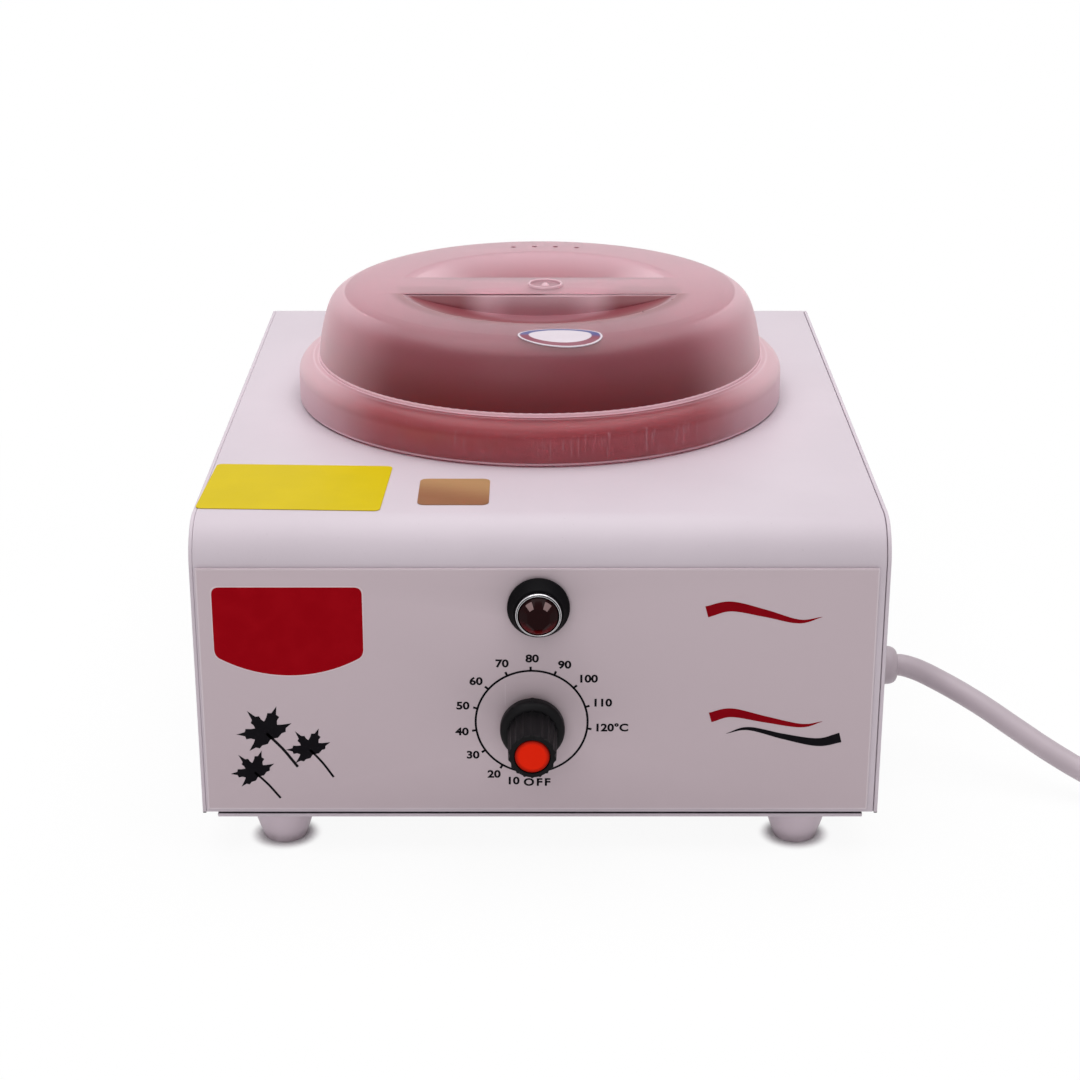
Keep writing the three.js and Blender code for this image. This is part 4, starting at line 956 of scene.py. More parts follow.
PINS = ("plug_pin_live", "plug_pin_neutral", "plug_pin_earth")
SLEEVE_STEPS = [i / 8 for i in range(9)]
GLAND_ROUND = 2.5  # rounding of the gland's mouth
GLAND_LAP = 2  # how far the gland's mouth laps over the cord
GLAND_TAPER = 0.12  # how much narrower the gland is at its mouth, of its radius
GLAND_FLANGE = 0.25  # the flange's and the sleeve's shares of the gland's reach
GLAND_SLEEVE = 0.5
GLAND_MOUTH = 0.77  # where its rounded mouth starts, and how long that is, as shares of the reach
GLAND_NOSE = 0.22
CORD_ROOM = 0.2  # between the cord and the gland's mouth
CORD_SIDES = 5  # rounding steps of the cord's section, and steps from knot to knot
CORD_STEPS = 4
RIBS = 5  # on the plug's sleeve
RIB_SINK = 0.7  # depth of the grooves between the sleeve's ribs
RIB_SHAPE = ((0, 0), (0.5, 0), (0.6, 1), (0.9, 1))  # one rib: share of its length, sunk or not
SLEEVE_SWELL = 0.4  # how much wider the sleeve is at the plug, of its end's radius
PLUG_SWELL = (  # how far past the sleeve, of its radius; shares of width, depth and rise; flatness
    (0.45, 0.7, 0.9, 0.55, 0.5),
    (1.4, 0.94, 0.99, 0.92, 0.7),
)
PLUG_FLAT = 0.8  # how much the plug's body narrows towards its top


def ring_outline(along, half_width, low, high, flatness, count=40):
    """One ring of the plug: flat below, rounded above, and narrower towards its top."""
    points = []
    for i in range(count):
        angle = TURN * i / count

        def swell(value):
            return math.copysign(abs(value) ** (1 - flatness / 2), value)

        rise = swell(math.sin(angle))
        narrow = 1 - flatness * (rise + 1) / 4
        across = -half_width * swell(math.cos(angle)) * narrow
        points.append((across, along, (low + high) / 2 + (high - low) / 2 * rise))
    return points


def loft(rings):
    """Bridges closed rings of places, and fills the first and the last."""
    loops = []
    for ring in rings:
        draw([spot(*point) for point in [*ring, ring[0]]])
        bpy.ops.mesh.remove_doubles(threshold=JOINED * MM)
        bpy.ops.object.mode_set(mode="OBJECT")
        loops.append(bpy.context.object)
    edit(join(*loops))
    bpy.ops.mesh.bridge_edge_loops()
    bpy.ops.mesh.select_all(action="SELECT")
    bpy.ops.mesh.fill_holes(sides=0)
    return close_up()


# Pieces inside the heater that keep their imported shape, and their finishes
def brass():
    p = Paint("brass")
    patch = p.noise(2, detail=4)
    tone = p.mix(patch, (0.68, 0.47, 0.2), (0.5, 0.32, 0.13))
    return p.surface(tone, 0.24 + 0.2 * patch, p.bump(p.noise(0.5), 0.01), Metallic=1)


def copper_tube():
    p = Paint("copper tube")
    patch = p.noise(3, detail=4)
    tone = p.mix(patch, (0.72, 0.35, 0.22), (0.42, 0.2, 0.14))
    return p.surface(tone, 0.3 + 0.2 * patch, Metallic=1)


def mica_sheet():
    """Pale brown laminate with glinting flakes."""
    p = Paint("mica sheet")
    flakes = p.cells(1.5)
    tone = p.mix(p.noise(6, detail=4), (0.42, 0.35, 0.27), (0.6, 0.53, 0.43))
    return p.surface(tone, 0.35 + 0.3 * flakes, p.bump(flakes, 0.03))


def glass_wool():
    """Fluffy white felt."""
    p = Paint("glass wool")
    fluff = p.noise(1.4, detail=6, roughness=0.7)
    tone = p.mix(fluff.rise(0.3, 0.7), (0.55, 0.55, 0.5), (0.8, 0.8, 0.76))
    return p.surface(tone, 0.95, p.bump(fluff, 0.6))


def ceramic():
    p = Paint("glazed ceramic")
    patch = p.noise(5, detail=3)
    tone = p.mix(patch, (0.78, 0.76, 0.7), (0.7, 0.67, 0.6))
    return p.surface(tone, 0.25 + 0.15 * patch, p.bump(p.noise(2), 0.03))


def sheath(name, shade):
    """Soft plastic of one inner wire."""
    p = Paint(name)
    patch = p.noise(5, detail=3)
    tone = p.patched(shade, 0.8, patch)
    return p.surface(tone, 0.45 + 0.1 * patch, p.bump(patch, 0.02))


brown_sheath = partial(sheath, "brown sheath", srgb(91, 52, 32))
blue_sheath = partial(sheath, "blue sheath", srgb(42, 79, 143))
green_sheath = partial(sheath, "green sheath", srgb(61, 122, 53))
red_sheath = partial(sheath, "red sheath", srgb(160, 38, 38))
KEPT = {
    "band_heater": mica_sheet, "thermostat_body": mica_sheet, "insulation_blanket": glass_wool,
    "heater_clamp_screw": screw_steel, "bulb_clip": screw_steel, "thermostat_shaft": screw_steel,
    "lamp_nut": screw_steel, "thermostat_nut": brass, "earth_screw": brass,
    "sensor_bulb": copper_tube, "lamp_body": lamp_black, "terminal_block": ceramic,
    "gland_nut": white_lead, "core_live": brown_sheath, "core_neutral": blue_sheath,
    "core_earth": green_sheath, "lead_thermostat": brown_sheath, "lead_heater_left": red_sheath,
    "lead_heater_right": red_sheath, "lead_lamp_left": red_sheath, "lead_lamp_right": red_sheath,
}


class HEATER_OT_inside(bpy.types.Operator):
    """Gives the pieces inside the heater their finishes"""

    bl_idname = "heater.inside"
    bl_label = "Inside"

    def execute(self, context):
        for name, paint in KEPT.items():
            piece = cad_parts[name]
            for slot in piece.material_slots:
                slot.material = painted(paint)
        return {"FINISHED"}


# Housing: cover, side panels, base plate, feet, screws and the front overlay
BACK = DEPTH  # the cover's back face, from its front face
PANEL_LOW, PANEL_HIGH = node_box("side_panel_right")
SIDE = PANEL_HIGH.x
COVER_END = COVER_HIGH.x
BASE_LOW, BASE_HIGH = node_box("base_plate")
OVERLAY_LOW, OVERLAY_HIGH = node_box("front_overlay")
OVERLAY_FACE = FRONT - OVERLAY_LOW.y  # how far the overlay's face stands before the cover
KNOB = middle("knob_cap")
LAMP = middle("lamp_lens")
POT = middle("wax_pot")
GLAND = middle("cord_gland")


def side_outline(x, inset, bottom, radius):
    """The housing seen from the side, drawn in from the cover's outside by an inset."""
    bend = radius - inset
    back_bend = BACK_BEND - inset
    top = TOP - inset
    corner_back = arc(BACK - inset - back_bend, top - back_bend, back_bend, 0, 90, BEND_STEPS // 2)
    corner_front = arc(inset + bend, top - bend, bend, 90, 180, BEND_STEPS)
    points = [(BACK - inset, bottom), *corner_back, *corner_front, (inset, bottom)]
    return [(x, back, up) for back, up in points]


BACK_BEND = 3.5  # outer radius of the bend at the cover's back edge
BEND_STEPS = 14  # in the cover's front bend
RUN = 6  # how far a cutting tool runs past the wall


def bent_sheet(points, width, thickness):
    """A line seen from the side, pulled sideways by a width and given its thickness."""
    draw([spot(*point) for point in points])
    bpy.ops.mesh.extrude_region_move(TRANSFORM_OT_translate={"value": Vector((width * MM, 0, 0))})
    return apply_modifier(close_up(), "SOLIDIFY", thickness=thickness * MM, offset=-1)


def bore_bushes(piece):
    """The holes for the knob's shaft and the lamp."""
    for place in (KNOB, LAMP):
        combine(piece, rod(BUSH_HOLE, (place.x, -RUN, place.z), 2 * RUN, "back"))


def stands_out(name):
    """How far before the cover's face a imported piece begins, and how far it reaches."""
    low, high = node_box(name)
    return FRONT - high.y, FRONT - low.y


class HEATER_OT_housing(bpy.types.Operator):
    """Bends the cover, and adds the side panels and the slotted base plate"""

    bl_idname = "heater.housing"
    bl_label = "Housing"

    def execute(self, context):
        size = Sizes("heater_housing")
        self.add_cover(size)
        for name, side in (("side_panel_left", -1), ("side_panel_right", 1)):
            self.add_side_panel(size, name, side)
        self.add_base(size)
        return {"FINISHED"}

    def add_cover(self, size):
        left = -COVER_END - LEFT_SEAM
        line = side_outline(left, 0, COVER_FOOT, size.bend)
        cover = bent_sheet(line, COVER_END - left, size.sheet)
        low, _ = node_box("heater_well")
        well = (POT.x - low.x) - WELL_FLANGE - size.sheet
        combine(cover, rod(well, (POT.x, POT.y, TOP - RUN), 2 * RUN, steps=128))
        bore_bushes(cover)
        soften(cover, size.edge)
        finish(cover, "cover_shell", white_paint, "white_paint", "housing_cover")

    def add_side_panel(self, size, name, side):
        outside = side * (SIDE - size.sheet)
        outline = side_outline(outside, 0, PANEL_LOW.z, size.bend)
        cap = soften(plate(outline, (side * size.sheet, 0, 0)), size.edge)
        line = side_outline(outside, SIDE - COVER_END, PANEL_LOW.z, size.bend)
        tray = bent_sheet([*line, line[0]], -side * size.flange, size.sheet)
        if side > 0:
            hole = (outside - RUN, GLAND.y, GLAND.z)
            combine(cap, rod(size.gland_hole, hole, 2 * RUN, "right"))
        panel = join(tray, cap)
        finish(panel, name + "_shell", white_paint, "white_paint", name)

    def add_base(self, size):
        half = BASE_HIGH.x
        front = BASE_LOW.y - FRONT
        back = BASE_HIGH.y - FRONT
        outline = [(-half, front, BASE_LOW.z), (half, front, BASE_LOW.z)]
        outline += [(half, back, BASE_LOW.z), (-half, back, BASE_LOW.z)]
        base = plate(outline, (0, 0, size.sheet))
        slots = []
        for row in (size.slot_row, BACK - size.slot_row):
            for i in range(size.slot_count):
                x = (i - (size.slot_count - 1) / 2) * size.slot_pitch
                slots.append(slot_cutter(x, row, size.slot_width / 2, size.slot_length / 2))
        combine(base, join(*slots))
        soften(base, size.edge)
        finish(base, "base_pan", white_paint, "white_paint", "base_plate")


LEFT_SEAM = 0.25  # how far the cover reaches into the gap at its left end
WELL_FLANGE = 9  # width of the well's flange under the top plate
BUSH_HOLE = 5.3  # radius of the holes behind the knob and the lamp


def slot_cutter(x, row, half_width, half_length):
    """A tool for one air slot with round ends."""
    straight = half_length - half_width
    ends = arc(x, row + straight, half_width, 0, 180) + arc(x, row - straight, half_width, 180, 360)
    points = [(across, back, BASE_LOW.z - RUN) for across, back in ends]
    return plate(points, (0, 0, 2 * RUN))


class HEATER_OT_overlay(bpy.types.Operator):
    """Lays the printed plastic sheet on the front"""

    bl_idname = "heater.overlay"
    bl_label = "Front overlay"

    def execute(self, context):
        size = Sizes("heater_housing")
        left, right = OVERLAY_LOW.x, OVERLAY_HIGH.x
        low, high = OVERLAY_LOW.z, OVERLAY_HIGH.z
        back = FRONT - OVERLAY_HIGH.y
        corners = [(left, low), (right, low), (right, high), (left, high)]
        outline = [(x, -back, z) for x, z in corners]
        sheet = plate(outline, (0, back - OVERLAY_FACE, 0))
        bore_bushes(sheet)
        soften(sheet, size.overlay_edge)
        finish(sheet, "overlay_sheet", overlay_plastic, "overlay", "front_overlay")
        return {"FINISHED"}


class HEATER_OT_feet(bpy.types.Operator):
    """Turns the four feet, with the screw's recess in each"""

    bl_idname = "heater.feet"
    bl_label = "Feet"

    def execute(self, context):
        size = Sizes("heater_feet")
        for side in ("front_left", "front_right", "rear_left", "rear_right"):
            centre = middle("foot_" + side)
            top = node_box("foot_" + side)[1].z
            edge = size.edge
            profile = [
                (size.recess, size.recess_depth),
                (size.recess, edge / 2),
                (size.recess + edge / 2, 0),
                *arc(size.bottom - edge, edge, edge, -90, -20, 5),
                *foot_side(size, top),
                *arc(size.top - edge, top - edge, edge, 10, 90, 5),
                (size.hole, top),
                (size.hole, size.recess_depth),
                (size.recess, size.recess_depth),
            ]
            foot = turned(profile, (centre.x, centre.y, 0), steps=48)
            finish(foot, "foot_" + side + "_turned", foot_plastic, "white_plastic", "foot_" + side)
        return {"FINISHED"}


def foot_side(size, top):
    """The foot's flank, slightly swelling, between its rounded edges."""
    low, high = size.edge * 1.4, top - size.edge * 1.2
    points = []
    for t in [i / FOOT_STEPS for i in range(FOOT_STEPS + 1)]:
        bow = size.bow * math.sin(math.pi * t)
        points.append((size.bottom + (size.top - size.bottom) * t + bow, low + (high - low) * t))
    return points


FOOT_STEPS = 6  # up a foot's flank


class HEATER_OT_screws(bpy.types.Operator):
    """Adds the cross-headed screws of the feet, base and back"""

    bl_idname = "heater.screws"
    bl_label = "Screws"

    def execute(self, context):
        for name, axis in SCREWS.items():
            low, high = node_box(name)
            along = AXES[axis][0]
            centre = middle(name)
            reach = (high - low).dot(Vector(abs(a) for a in along))
            head = (high.x - low.x) / 2
            base = centre + along * (reach / 2 - SCREW_HEAD)
            self.add_screw(name, base, axis, head, reach)
        return {"FINISHED"}

    def add_screw(self, name, base, axis, head, reach):
        profile = [
            (0, -reach + SCREW_HEAD), (SCREW_SHANK, -reach + SCREW_HEAD), (SCREW_SHANK, 0),
            (head, 0), *arc(0, SCREW_HEAD * 0.3, head, 8, 90, 10, rise=SCREW_HEAD * 0.7),
        ]
        profile[-1] = (0, SCREW_HEAD)
        screw = turned(profile, base, axis, steps=32)
        along, across = AXES[axis]
        other = along.cross(across)
        for long, short in ((across, other), (other, across)):
            corners = [
                long * SCREW_CROSS * a + short * SCREW_SLOT * b - along * SCREW_SINK
                for a, b in ((-1, -1), (1, -1), (1, 1), (-1, 1))
            ]
            points = [base + along * SCREW_HEAD + corner for corner in corners]
            combine(screw, plate(points, along * 2 * SCREW_SINK))
        finish(screw, name + "_crosshead", screw_steel, "steel", name)


SCREWS = {"back_screw_left": "back", "back_screw_right": "back"}
for corner in ("front_left", "front_right", "rear_left", "rear_right"):
    SCREWS["base_screw_" + corner] = "down"
    SCREWS["foot_screw_" + corner] = "down"
SCREW_HEAD = 1.8  # height of a head
SCREW_SHANK = 1.7  # radius of a shank
SCREW_CROSS = 1.7  # the cross-shaped recess: half its length, half its width and its depth
SCREW_SLOT = 0.35
SCREW_SINK = 1


class HEATER_OT_stickers(bpy.types.Operator):
    """Sticks the plain yellow and gold labels on the top plate"""

    bl_idname = "heater.stickers"
    bl_label = "Top labels"

    def execute(self, context):
        for name, paint, slot, *outline in TOP_LABELS:
            low, high = node_box(name)
            centre = middle(name)
            outline = rounded_rectangle(*outline)
            points = [(centre.x + x, centre.y + back, low.z) for x, back in outline]
            label = plate(points, (0, 0, high.z - low.z))
            finish(label, name + "_sheet", paint, slot, name)
        return {"FINISHED"}


TOP_LABELS = (  # piece, finish, slot; width, depth, rounding of the corners and turn in radians
    ("yellow_sticker", yellow_paper, "yellow_label", 61, 44.4, 2, -0.04),
    ("gold_sticker", gold_foil, "gold_label", 23.7, 25.5, 2.5, 0),
)


def rounded_rectangle(width, depth, corner, turn):
    x, y = width / 2 - corner, depth / 2 - corner
    points = []
    for quarter, (across, up) in enumerate(((x, y), (-x, y), (-x, -y), (x, -y))):
        points += arc(across, up, corner, 90 * quarter, 90 * quarter + 90, 6)
    cos, sin = math.cos(turn), math.sin(turn)
    return [(a * cos - b * sin, a * sin + b * cos) for a, b in points]


# Pot, its well, and the frosted lid
class HEATER_OT_pot(bpy.types.Operator):
    """Turns the enamelled pot with its rolled rim, and the well that holds it"""

    bl_idname = "heater.pot"
    bl_label = "Wax pot"

    def execute(self, context):
        size = Sizes("heater_pot")
        self.add_pot(size)
        self.add_well(size)
        return {"FINISHED"}

    def add_pot(self, size):
        low, high = node_box("wax_pot")
        wall, corner, roll = size.wall, size.corner, size.roll
        bottom, rim = low.z, high.z
        inner = size.radius - wall + size.inner_roll
        floor_radius = size.radius - size.taper
        lip = TOP + LIP_GAP
        shell = rim_radius(size)
        profile = [
            (0, bottom),
            *arc(floor_radius - corner, bottom + corner, corner, -90, 0, 8),
            (size.radius, TOP),
            *arc(inner + wall, rim - wall - size.inner_roll, size.inner_roll, 180, 90, 6),
            *arc(shell - roll, rim - roll, roll - wall, 90, 0, 8),
            (shell - wall, lip + wall / 2),
            *arc(shell - wall / 2, lip + wall / 2, wall / 2, 180, 360, 6),
            *arc(shell - roll, rim - roll, roll, 0, 90, 8),
            *arc(inner, rim - size.inner_roll, size.inner_roll, 90, 180, 6),
            (size.radius - wall, TOP),
            *arc(floor_radius - corner, bottom + corner, corner - wall, 0, -90, 8),
            (0, bottom + wall),
        ]
        pot = turned(profile, (POT.x, POT.y, 0), steps=128)
        finish(pot, "pot_enamelled", red_enamel, "red_enamel", "wax_pot", body="pot", smooth=40)

    def add_well(self, size):
        low, high = node_box("heater_well")
        outer = high.x - POT.x - WELL_FLANGE
        inner = outer - size.well_wall
        corner = size.corner + size.wall
        profile = [
            (0, low.z),
            *arc(outer - corner, low.z + corner, corner, -90, 0, 8),
            (outer, high.z - size.well_wall),
            (outer + WELL_FLANGE, high.z - size.well_wall),
            (outer + WELL_FLANGE, high.z),
            *arc(inner + size.well_wall, high.z - size.well_wall, size.well_wall, 90, 180, 4),
            *arc(outer - corner, low.z + corner, corner - size.well_wall, 0, -90, 8),
            (0, low.z + size.well_wall),
        ]
        well = turned(profile, (POT.x, POT.y, 0), steps=96)
        finish(well, "well_spun", spun_aluminium, "aluminium", "heater_well")


LIP_GAP = 0.3  # keeps a rim off the plate that it hangs over


def rim_radius(size):
    return size.radius + size.rim


class HEATER_OT_lid(bpy.types.Operator):
    """Makes the frosted lid: skirt, step, dome, two finger recesses, gate mark and vents"""

    bl_idname = "heater.lid"
    bl_label = "Lid"

    def execute(self, context):
        size = Sizes("heater_lid")
        lid = turned(lid_outline(size, 0), (POT.x, POT.y, 0), steps=160)
        hollow = turned(lid_outline(size, size.wall), (POT.x, POT.y, 0), steps=160)
        combine(hollow, finger_recesses(size, size.wall))
        combine(lid, finger_recesses(size, 0))
        combine(lid, hollow)
        for cutter in lid_vents(size):
            combine(lid, cutter)
        soften_recess(lid, size)
        finish(lid, "lid_moulded", frosted_lid, "frosted_lid", "lid", body="lid", smooth=35)
        self.add_gate(size)
        self.add_label(size)
        return {"FINISHED"}

    def add_gate(self, size):
        """The raised ring and cone where the plastic was injected."""
        top, wall, radius = lid_top(size), GATE_WALL, GATE_RADIUS
        profile = [
            (0, top - 0.3), (radius + 0.4, top - 0.3), (radius + 0.2, top + 0.1),
            *arc(radius - wall / 2, top + GATE_RISE - wall / 2, wall / 2, 0, 180, 6),
            (radius - wall, top + 0.1), (GATE_CONE, top + 0.1), (GATE_CONE * 0.4, top + 0.9),
            (0, top + GATE_RISE),
        ]
        gate = turned(profile, (POT.x + GATE_X, POT.y, 0), steps=48)
        finish(gate, "lid_gate_mark", frosted_lid, "frosted_lid", body="lid", smooth=40)

    def add_label(self, size):
        """An oval label that follows the front of the dome."""
        low, high = node_box("lid_sticker")
        centre = middle("lid_sticker")
        skins = []
        for stand in (LABEL_GAP + LABEL_THICK, LABEL_GAP):
            skins.append(turned(lid_outline(size, -stand), (POT.x, POT.y, 0), steps=160))
        label, inside = skins
        combine(label, inside)
        half_width, half_depth = (high.x - low.x) / 2, (high.y - low.y) / 2
        oval = arc(centre.x, centre.y, half_width, 0, 360, 64, rise=half_depth)[:-1]
        column = plate([(x, back, low.z - RUN) for x, back in oval], (0, 0, 4 * RUN))
        combine(label, column, "INTERSECT")
        finish(label, "lid_label", lid_paper, "white_label", "lid_sticker", body="lid", smooth=60)


GATE_X = 2  # the gate mark: its place beside the pot's middle, then its ring and cone
GATE_RADIUS = 6.5
GATE_WALL = 0.9
GATE_RISE = 1
GATE_CONE = 1.6
LABEL_GAP = 0.1  # between the lid's dome and its label, and the label's thickness
LABEL_THICK = 0.2
SKIRT_GAP = 0.6  # between the lid's skirt and the top plate
DOME_SHARES = (  # the dome's outline: shares of its radius and of its height
    (1, 0), (0.99, 0.28), (0.97, 0.58), (0.94, 0.82), (0.885, 0.95), (0.825, 1),
)


def lid_top(size):
    return TOP + size.height


def lid_outline(size, inset):
    """The lid's outline, drawn in from its outside by an inset, from the axis and back."""
    _, rim = node_box("wax_pot")
    shoulder = rim.z + LIP_GAP + size.wall - inset
    skirt = size.skirt - inset
    step = size.skirt - size.shoulder - inset * 0.7
    foot = shoulder + (size.step if inset <= 0 else 0)
    rise = lid_top(size) - inset - foot
    dome_radius = size.skirt - size.shoulder - size.dome_inset - inset
    line = [(dome_radius * a, foot + rise * b) for a, b in DOME_SHARES]
    dome = smooth_line(line, 5, onward=(-1, 0))
    bottom = TOP + SKIRT_GAP - (RUN if inset > 0 else 0)
    edge = size.skirt_edge
    skirt_foot = [(0, bottom), (skirt, bottom)]
    if inset <= 0:
        skirt_foot = [(0, bottom), *arc(skirt - edge, bottom + edge, edge, -90, 0, 3)]
    shoulder_bend = arc(step, shoulder - size.shoulder_rise, skirt - step, 0, 90, 10,
                        rise=size.shoulder_rise)
    return [*skirt_foot, *shoulder_bend, (step, foot), *dome, (0, lid_top(size) - inset)]


def finger_recesses(size, sink):
    """The tool for the two shallow bowls beside the grip bar."""
    top, radius = lid_top(size) - sink, size.recess
    bowl = [(radius * i / 12, top - size.recess_depth * (1 - (i / 12) ** 2)) for i in range(13)]
    dish = turned([*bowl, (radius, top + RUN), (0, top + RUN)], (POT.x, POT.y, 0), steps=128)
    half = size.bar / 2 - sink
    low = top - size.recess_depth - RUN
    corners = [(-2, -half), (2, -half), (2, half), (-2, half)]
    bar = plate([(POT.x + a * radius, POT.y + b, low) for a, b in corners], (0, 0, 6 * RUN))
    return combine(dish, bar)


def lid_vents(size):
    top = lid_top(size)
    cutters = []
    for i in range(size.vent_count):
        x = GATE_X + (i - (size.vent_count - 1) / 2) * size.vent_pitch
        back = math.sqrt(size.vent_circle**2 - x**2)
        place = (POT.x + x, POT.y + back, top - RUN)
        cutters.append(rod(size.vent, place, 2 * RUN, steps=20))
    return cutters


def soften_recess(lid, size):
    """Rounds the edges of the recesses and of the grip bar."""
    edit(lid, "DESELECT")
    bpy.ops.mesh.select_mode(type="EDGE")
    object_mode()
    top = lid_top(size)
    centre = Vector((POT.x, POT.y))
    for edge in lid.data.edges:
        ends = [lid.data.vertices[v].co / MM for v in edge.vertices]
        flat = [Vector((end.x, end.y - FRONT)) - centre for end in ends]
        high = all(abs(end.z - top) < NEAR / 2 for end in ends)
        on_bar = all(abs(abs(place.y) - size.bar / 2) < NEAR for place in flat)
        on_rim = all(abs(place.length - size.recess) < RIM_SAG for place in flat)
        outside_bar = all(abs(place.y) > size.bar / 2 - NEAR for place in flat)
        edge.select = high and outside_bar and (on_bar or on_rim)
    bpy.ops.object.mode_set(mode="EDIT")
    bpy.ops.mesh.bevel(offset=size.recess_edge * MM, segments=3, affect="EDGES")
    bpy.ops.object.mode_set(mode="OBJECT")


NEAR = 0.02  # a corner this near an edge's line lies on it
RIM_SAG = 0.15  # and this near the recesses' round rim, whose sides are straight


# Knob and lamp on the front
class HEATER_OT_knob(bpy.types.Operator):
    """Turns the domed skirt, the fluted grip and the coloured cap, and adds the pointer"""

    bl_idname = "heater.knob"
    bl_label = "Knob"

    def execute(self, context):
        size = Sizes("heater_knob")
        back, reach = stands_out("knob_body")
        self.add_body(size, back, reach)
        self.add_cap(size, reach)
        return {"FINISHED"}

    def add_body(self, size, back, reach):
        centre = (KNOB.x, 0, KNOB.z)
        skirt_front = back + size.skirt_depth
        grip_start = skirt_front + size.dome
        cap_floor = reach - size.cap_depth
        edge, bore = size.edge, SHAFT_HOLE + BORE_STEP
        skirt = [
            (bore, back + size.hollow_depth), (size.hollow, back + size.hollow_depth),
            (size.hollow, back), *arc(size.skirt - edge, back + edge, edge, -90, 0, 4),
            *arc(size.grip_back - DOME_LAP, skirt_front, size.skirt - size.grip_back + DOME_LAP,
                 0, 80, 12, rise=size.dome),
            (bore, grip_start), (bore, back + size.hollow_depth),
        ]
        body = turned(skirt, centre, "front", steps=96)
        grip = self.grip(size, centre, grip_start - GRIP_SINK, reach)
        pointer = self.pointer(size, back)
        hole = size.cap + CAP_GAP
        combine(grip, rod(hole, (KNOB.x, -cap_floor, KNOB.z), RUN, "front", 64))
        shaft = (KNOB.x, -grip_start + RUN, KNOB.z)
        combine(grip, rod(SHAFT_HOLE, shaft, SHAFT_REACH, "front", 32))
        combine(body, grip, "UNION")
        combine(body, pointer, "UNION")
        edit(body)
        bpy.ops.mesh.dissolve_degenerate(threshold=JOINED * MM)
        close_up()
        finish(body, "knob_fluted", black_plastic, "black_plastic", "knob_body", body="knob")

    def grip(self, size, centre, start, reach):
        """The grip: a tapered barrel with hollow flutes along it."""
        edge = size.edge
        steps = size.flutes * FLUTE_STEPS
        profile = [(0, start), (size.grip_back, start)]
        for i in range(1, GRIP_RINGS):
            t = i / GRIP_RINGS
            radius = size.grip_back + (size.grip_front - size.grip_back) * t
            profile.append((radius, start + (reach - start) * t))
        profile += arc(size.grip_front - edge, reach - edge, edge, 0, 90, 5)
        profile += [(size.cap + CAP_GAP + 0.3, reach), (0, reach)]
        grip = turned(profile, centre, "front", steps=steps)
        axis = Vector((centre[0], centre[2]))
        for vertex in grip.data.vertices:
            x, y, z = vertex.co / MM
            out = Vector((x, z)) - axis
            radius = out.length
            if radius < size.grip_front - edge * 0.8:
                continue
            angle = math.atan2(out.x, out.y)
            hollow = (0.5 - 0.5 * math.cos(size.flutes * angle)) ** FLUTE_ROUND
            share = 1 - size.flute_depth * hollow / radius
            vertex.co = Vector((axis.x + out.x * share, y, axis.y + out.y * share)) * MM
        return grip

    def pointer(self, size, back):
        """The small ridge on the skirt that points at the scale."""
        half = size.pointer / 2
        top = KNOB.z + size.skirt + size.pointer_rise / 2
        low = KNOB.z + size.grip_back - 1
        start, end = back + size.edge, back + size.skirt_depth + size.dome * 0.8
        outline = [(-start, low), (-start, top), (-start - size.skirt_depth, top), (-end, low)]
        ridge = plate([(KNOB.x - half, back_, up) for back_, up in outline], (2 * half, 0, 0))
        soften(ridge, size.edge * 0.8)
        nut_room = rod(size.hollow + CAP_GAP, (KNOB.x, RUN - back, KNOB.z),
                       RUN + size.hollow_depth + CAP_GAP, "front", 96)
        return combine(ridge, nut_room)

    def add_cap(self, size, reach):
        floor = reach - size.cap_depth + CAP_GAP
        radius, edge = size.cap, size.cap_edge
        profile = [
            (0, floor), (radius, floor), *arc(radius - edge, reach - edge, edge, 0, 70, 6),
            *[(radius * 0.86 * (1 - i / 6), reach - 0.12 * (1 - i / 6) ** 2) for i in range(7)],
        ]
        cap = turned(profile, (KNOB.x, 0, KNOB.z), "front", steps=96)
        finish(cap, "knob_cap_disc", orange_cap, "orange_plastic", "knob_cap", body="knob",
               smooth=50)


SHAFT_HOLE = 3.3  # radius of the bore in the grip, and its reach
SHAFT_REACH = 16
BORE_STEP = 0.2  # how much wider the skirt's bore is than the grip's
GRIP_SINK = 0.9  # how deep the grip is sunk in the skirt's dome
GRIP_RINGS = 8  # from the grip's back to its front
DOME_LAP = 0.6  # how far the skirt's dome runs in under the grip
FLUTE_STEPS = 10  # round each flute
FLUTE_ROUND = 0.6  # under 1 makes the flutes round and the ridges between them sharp
CAP_GAP = 0.3  # round the coloured disc and under it


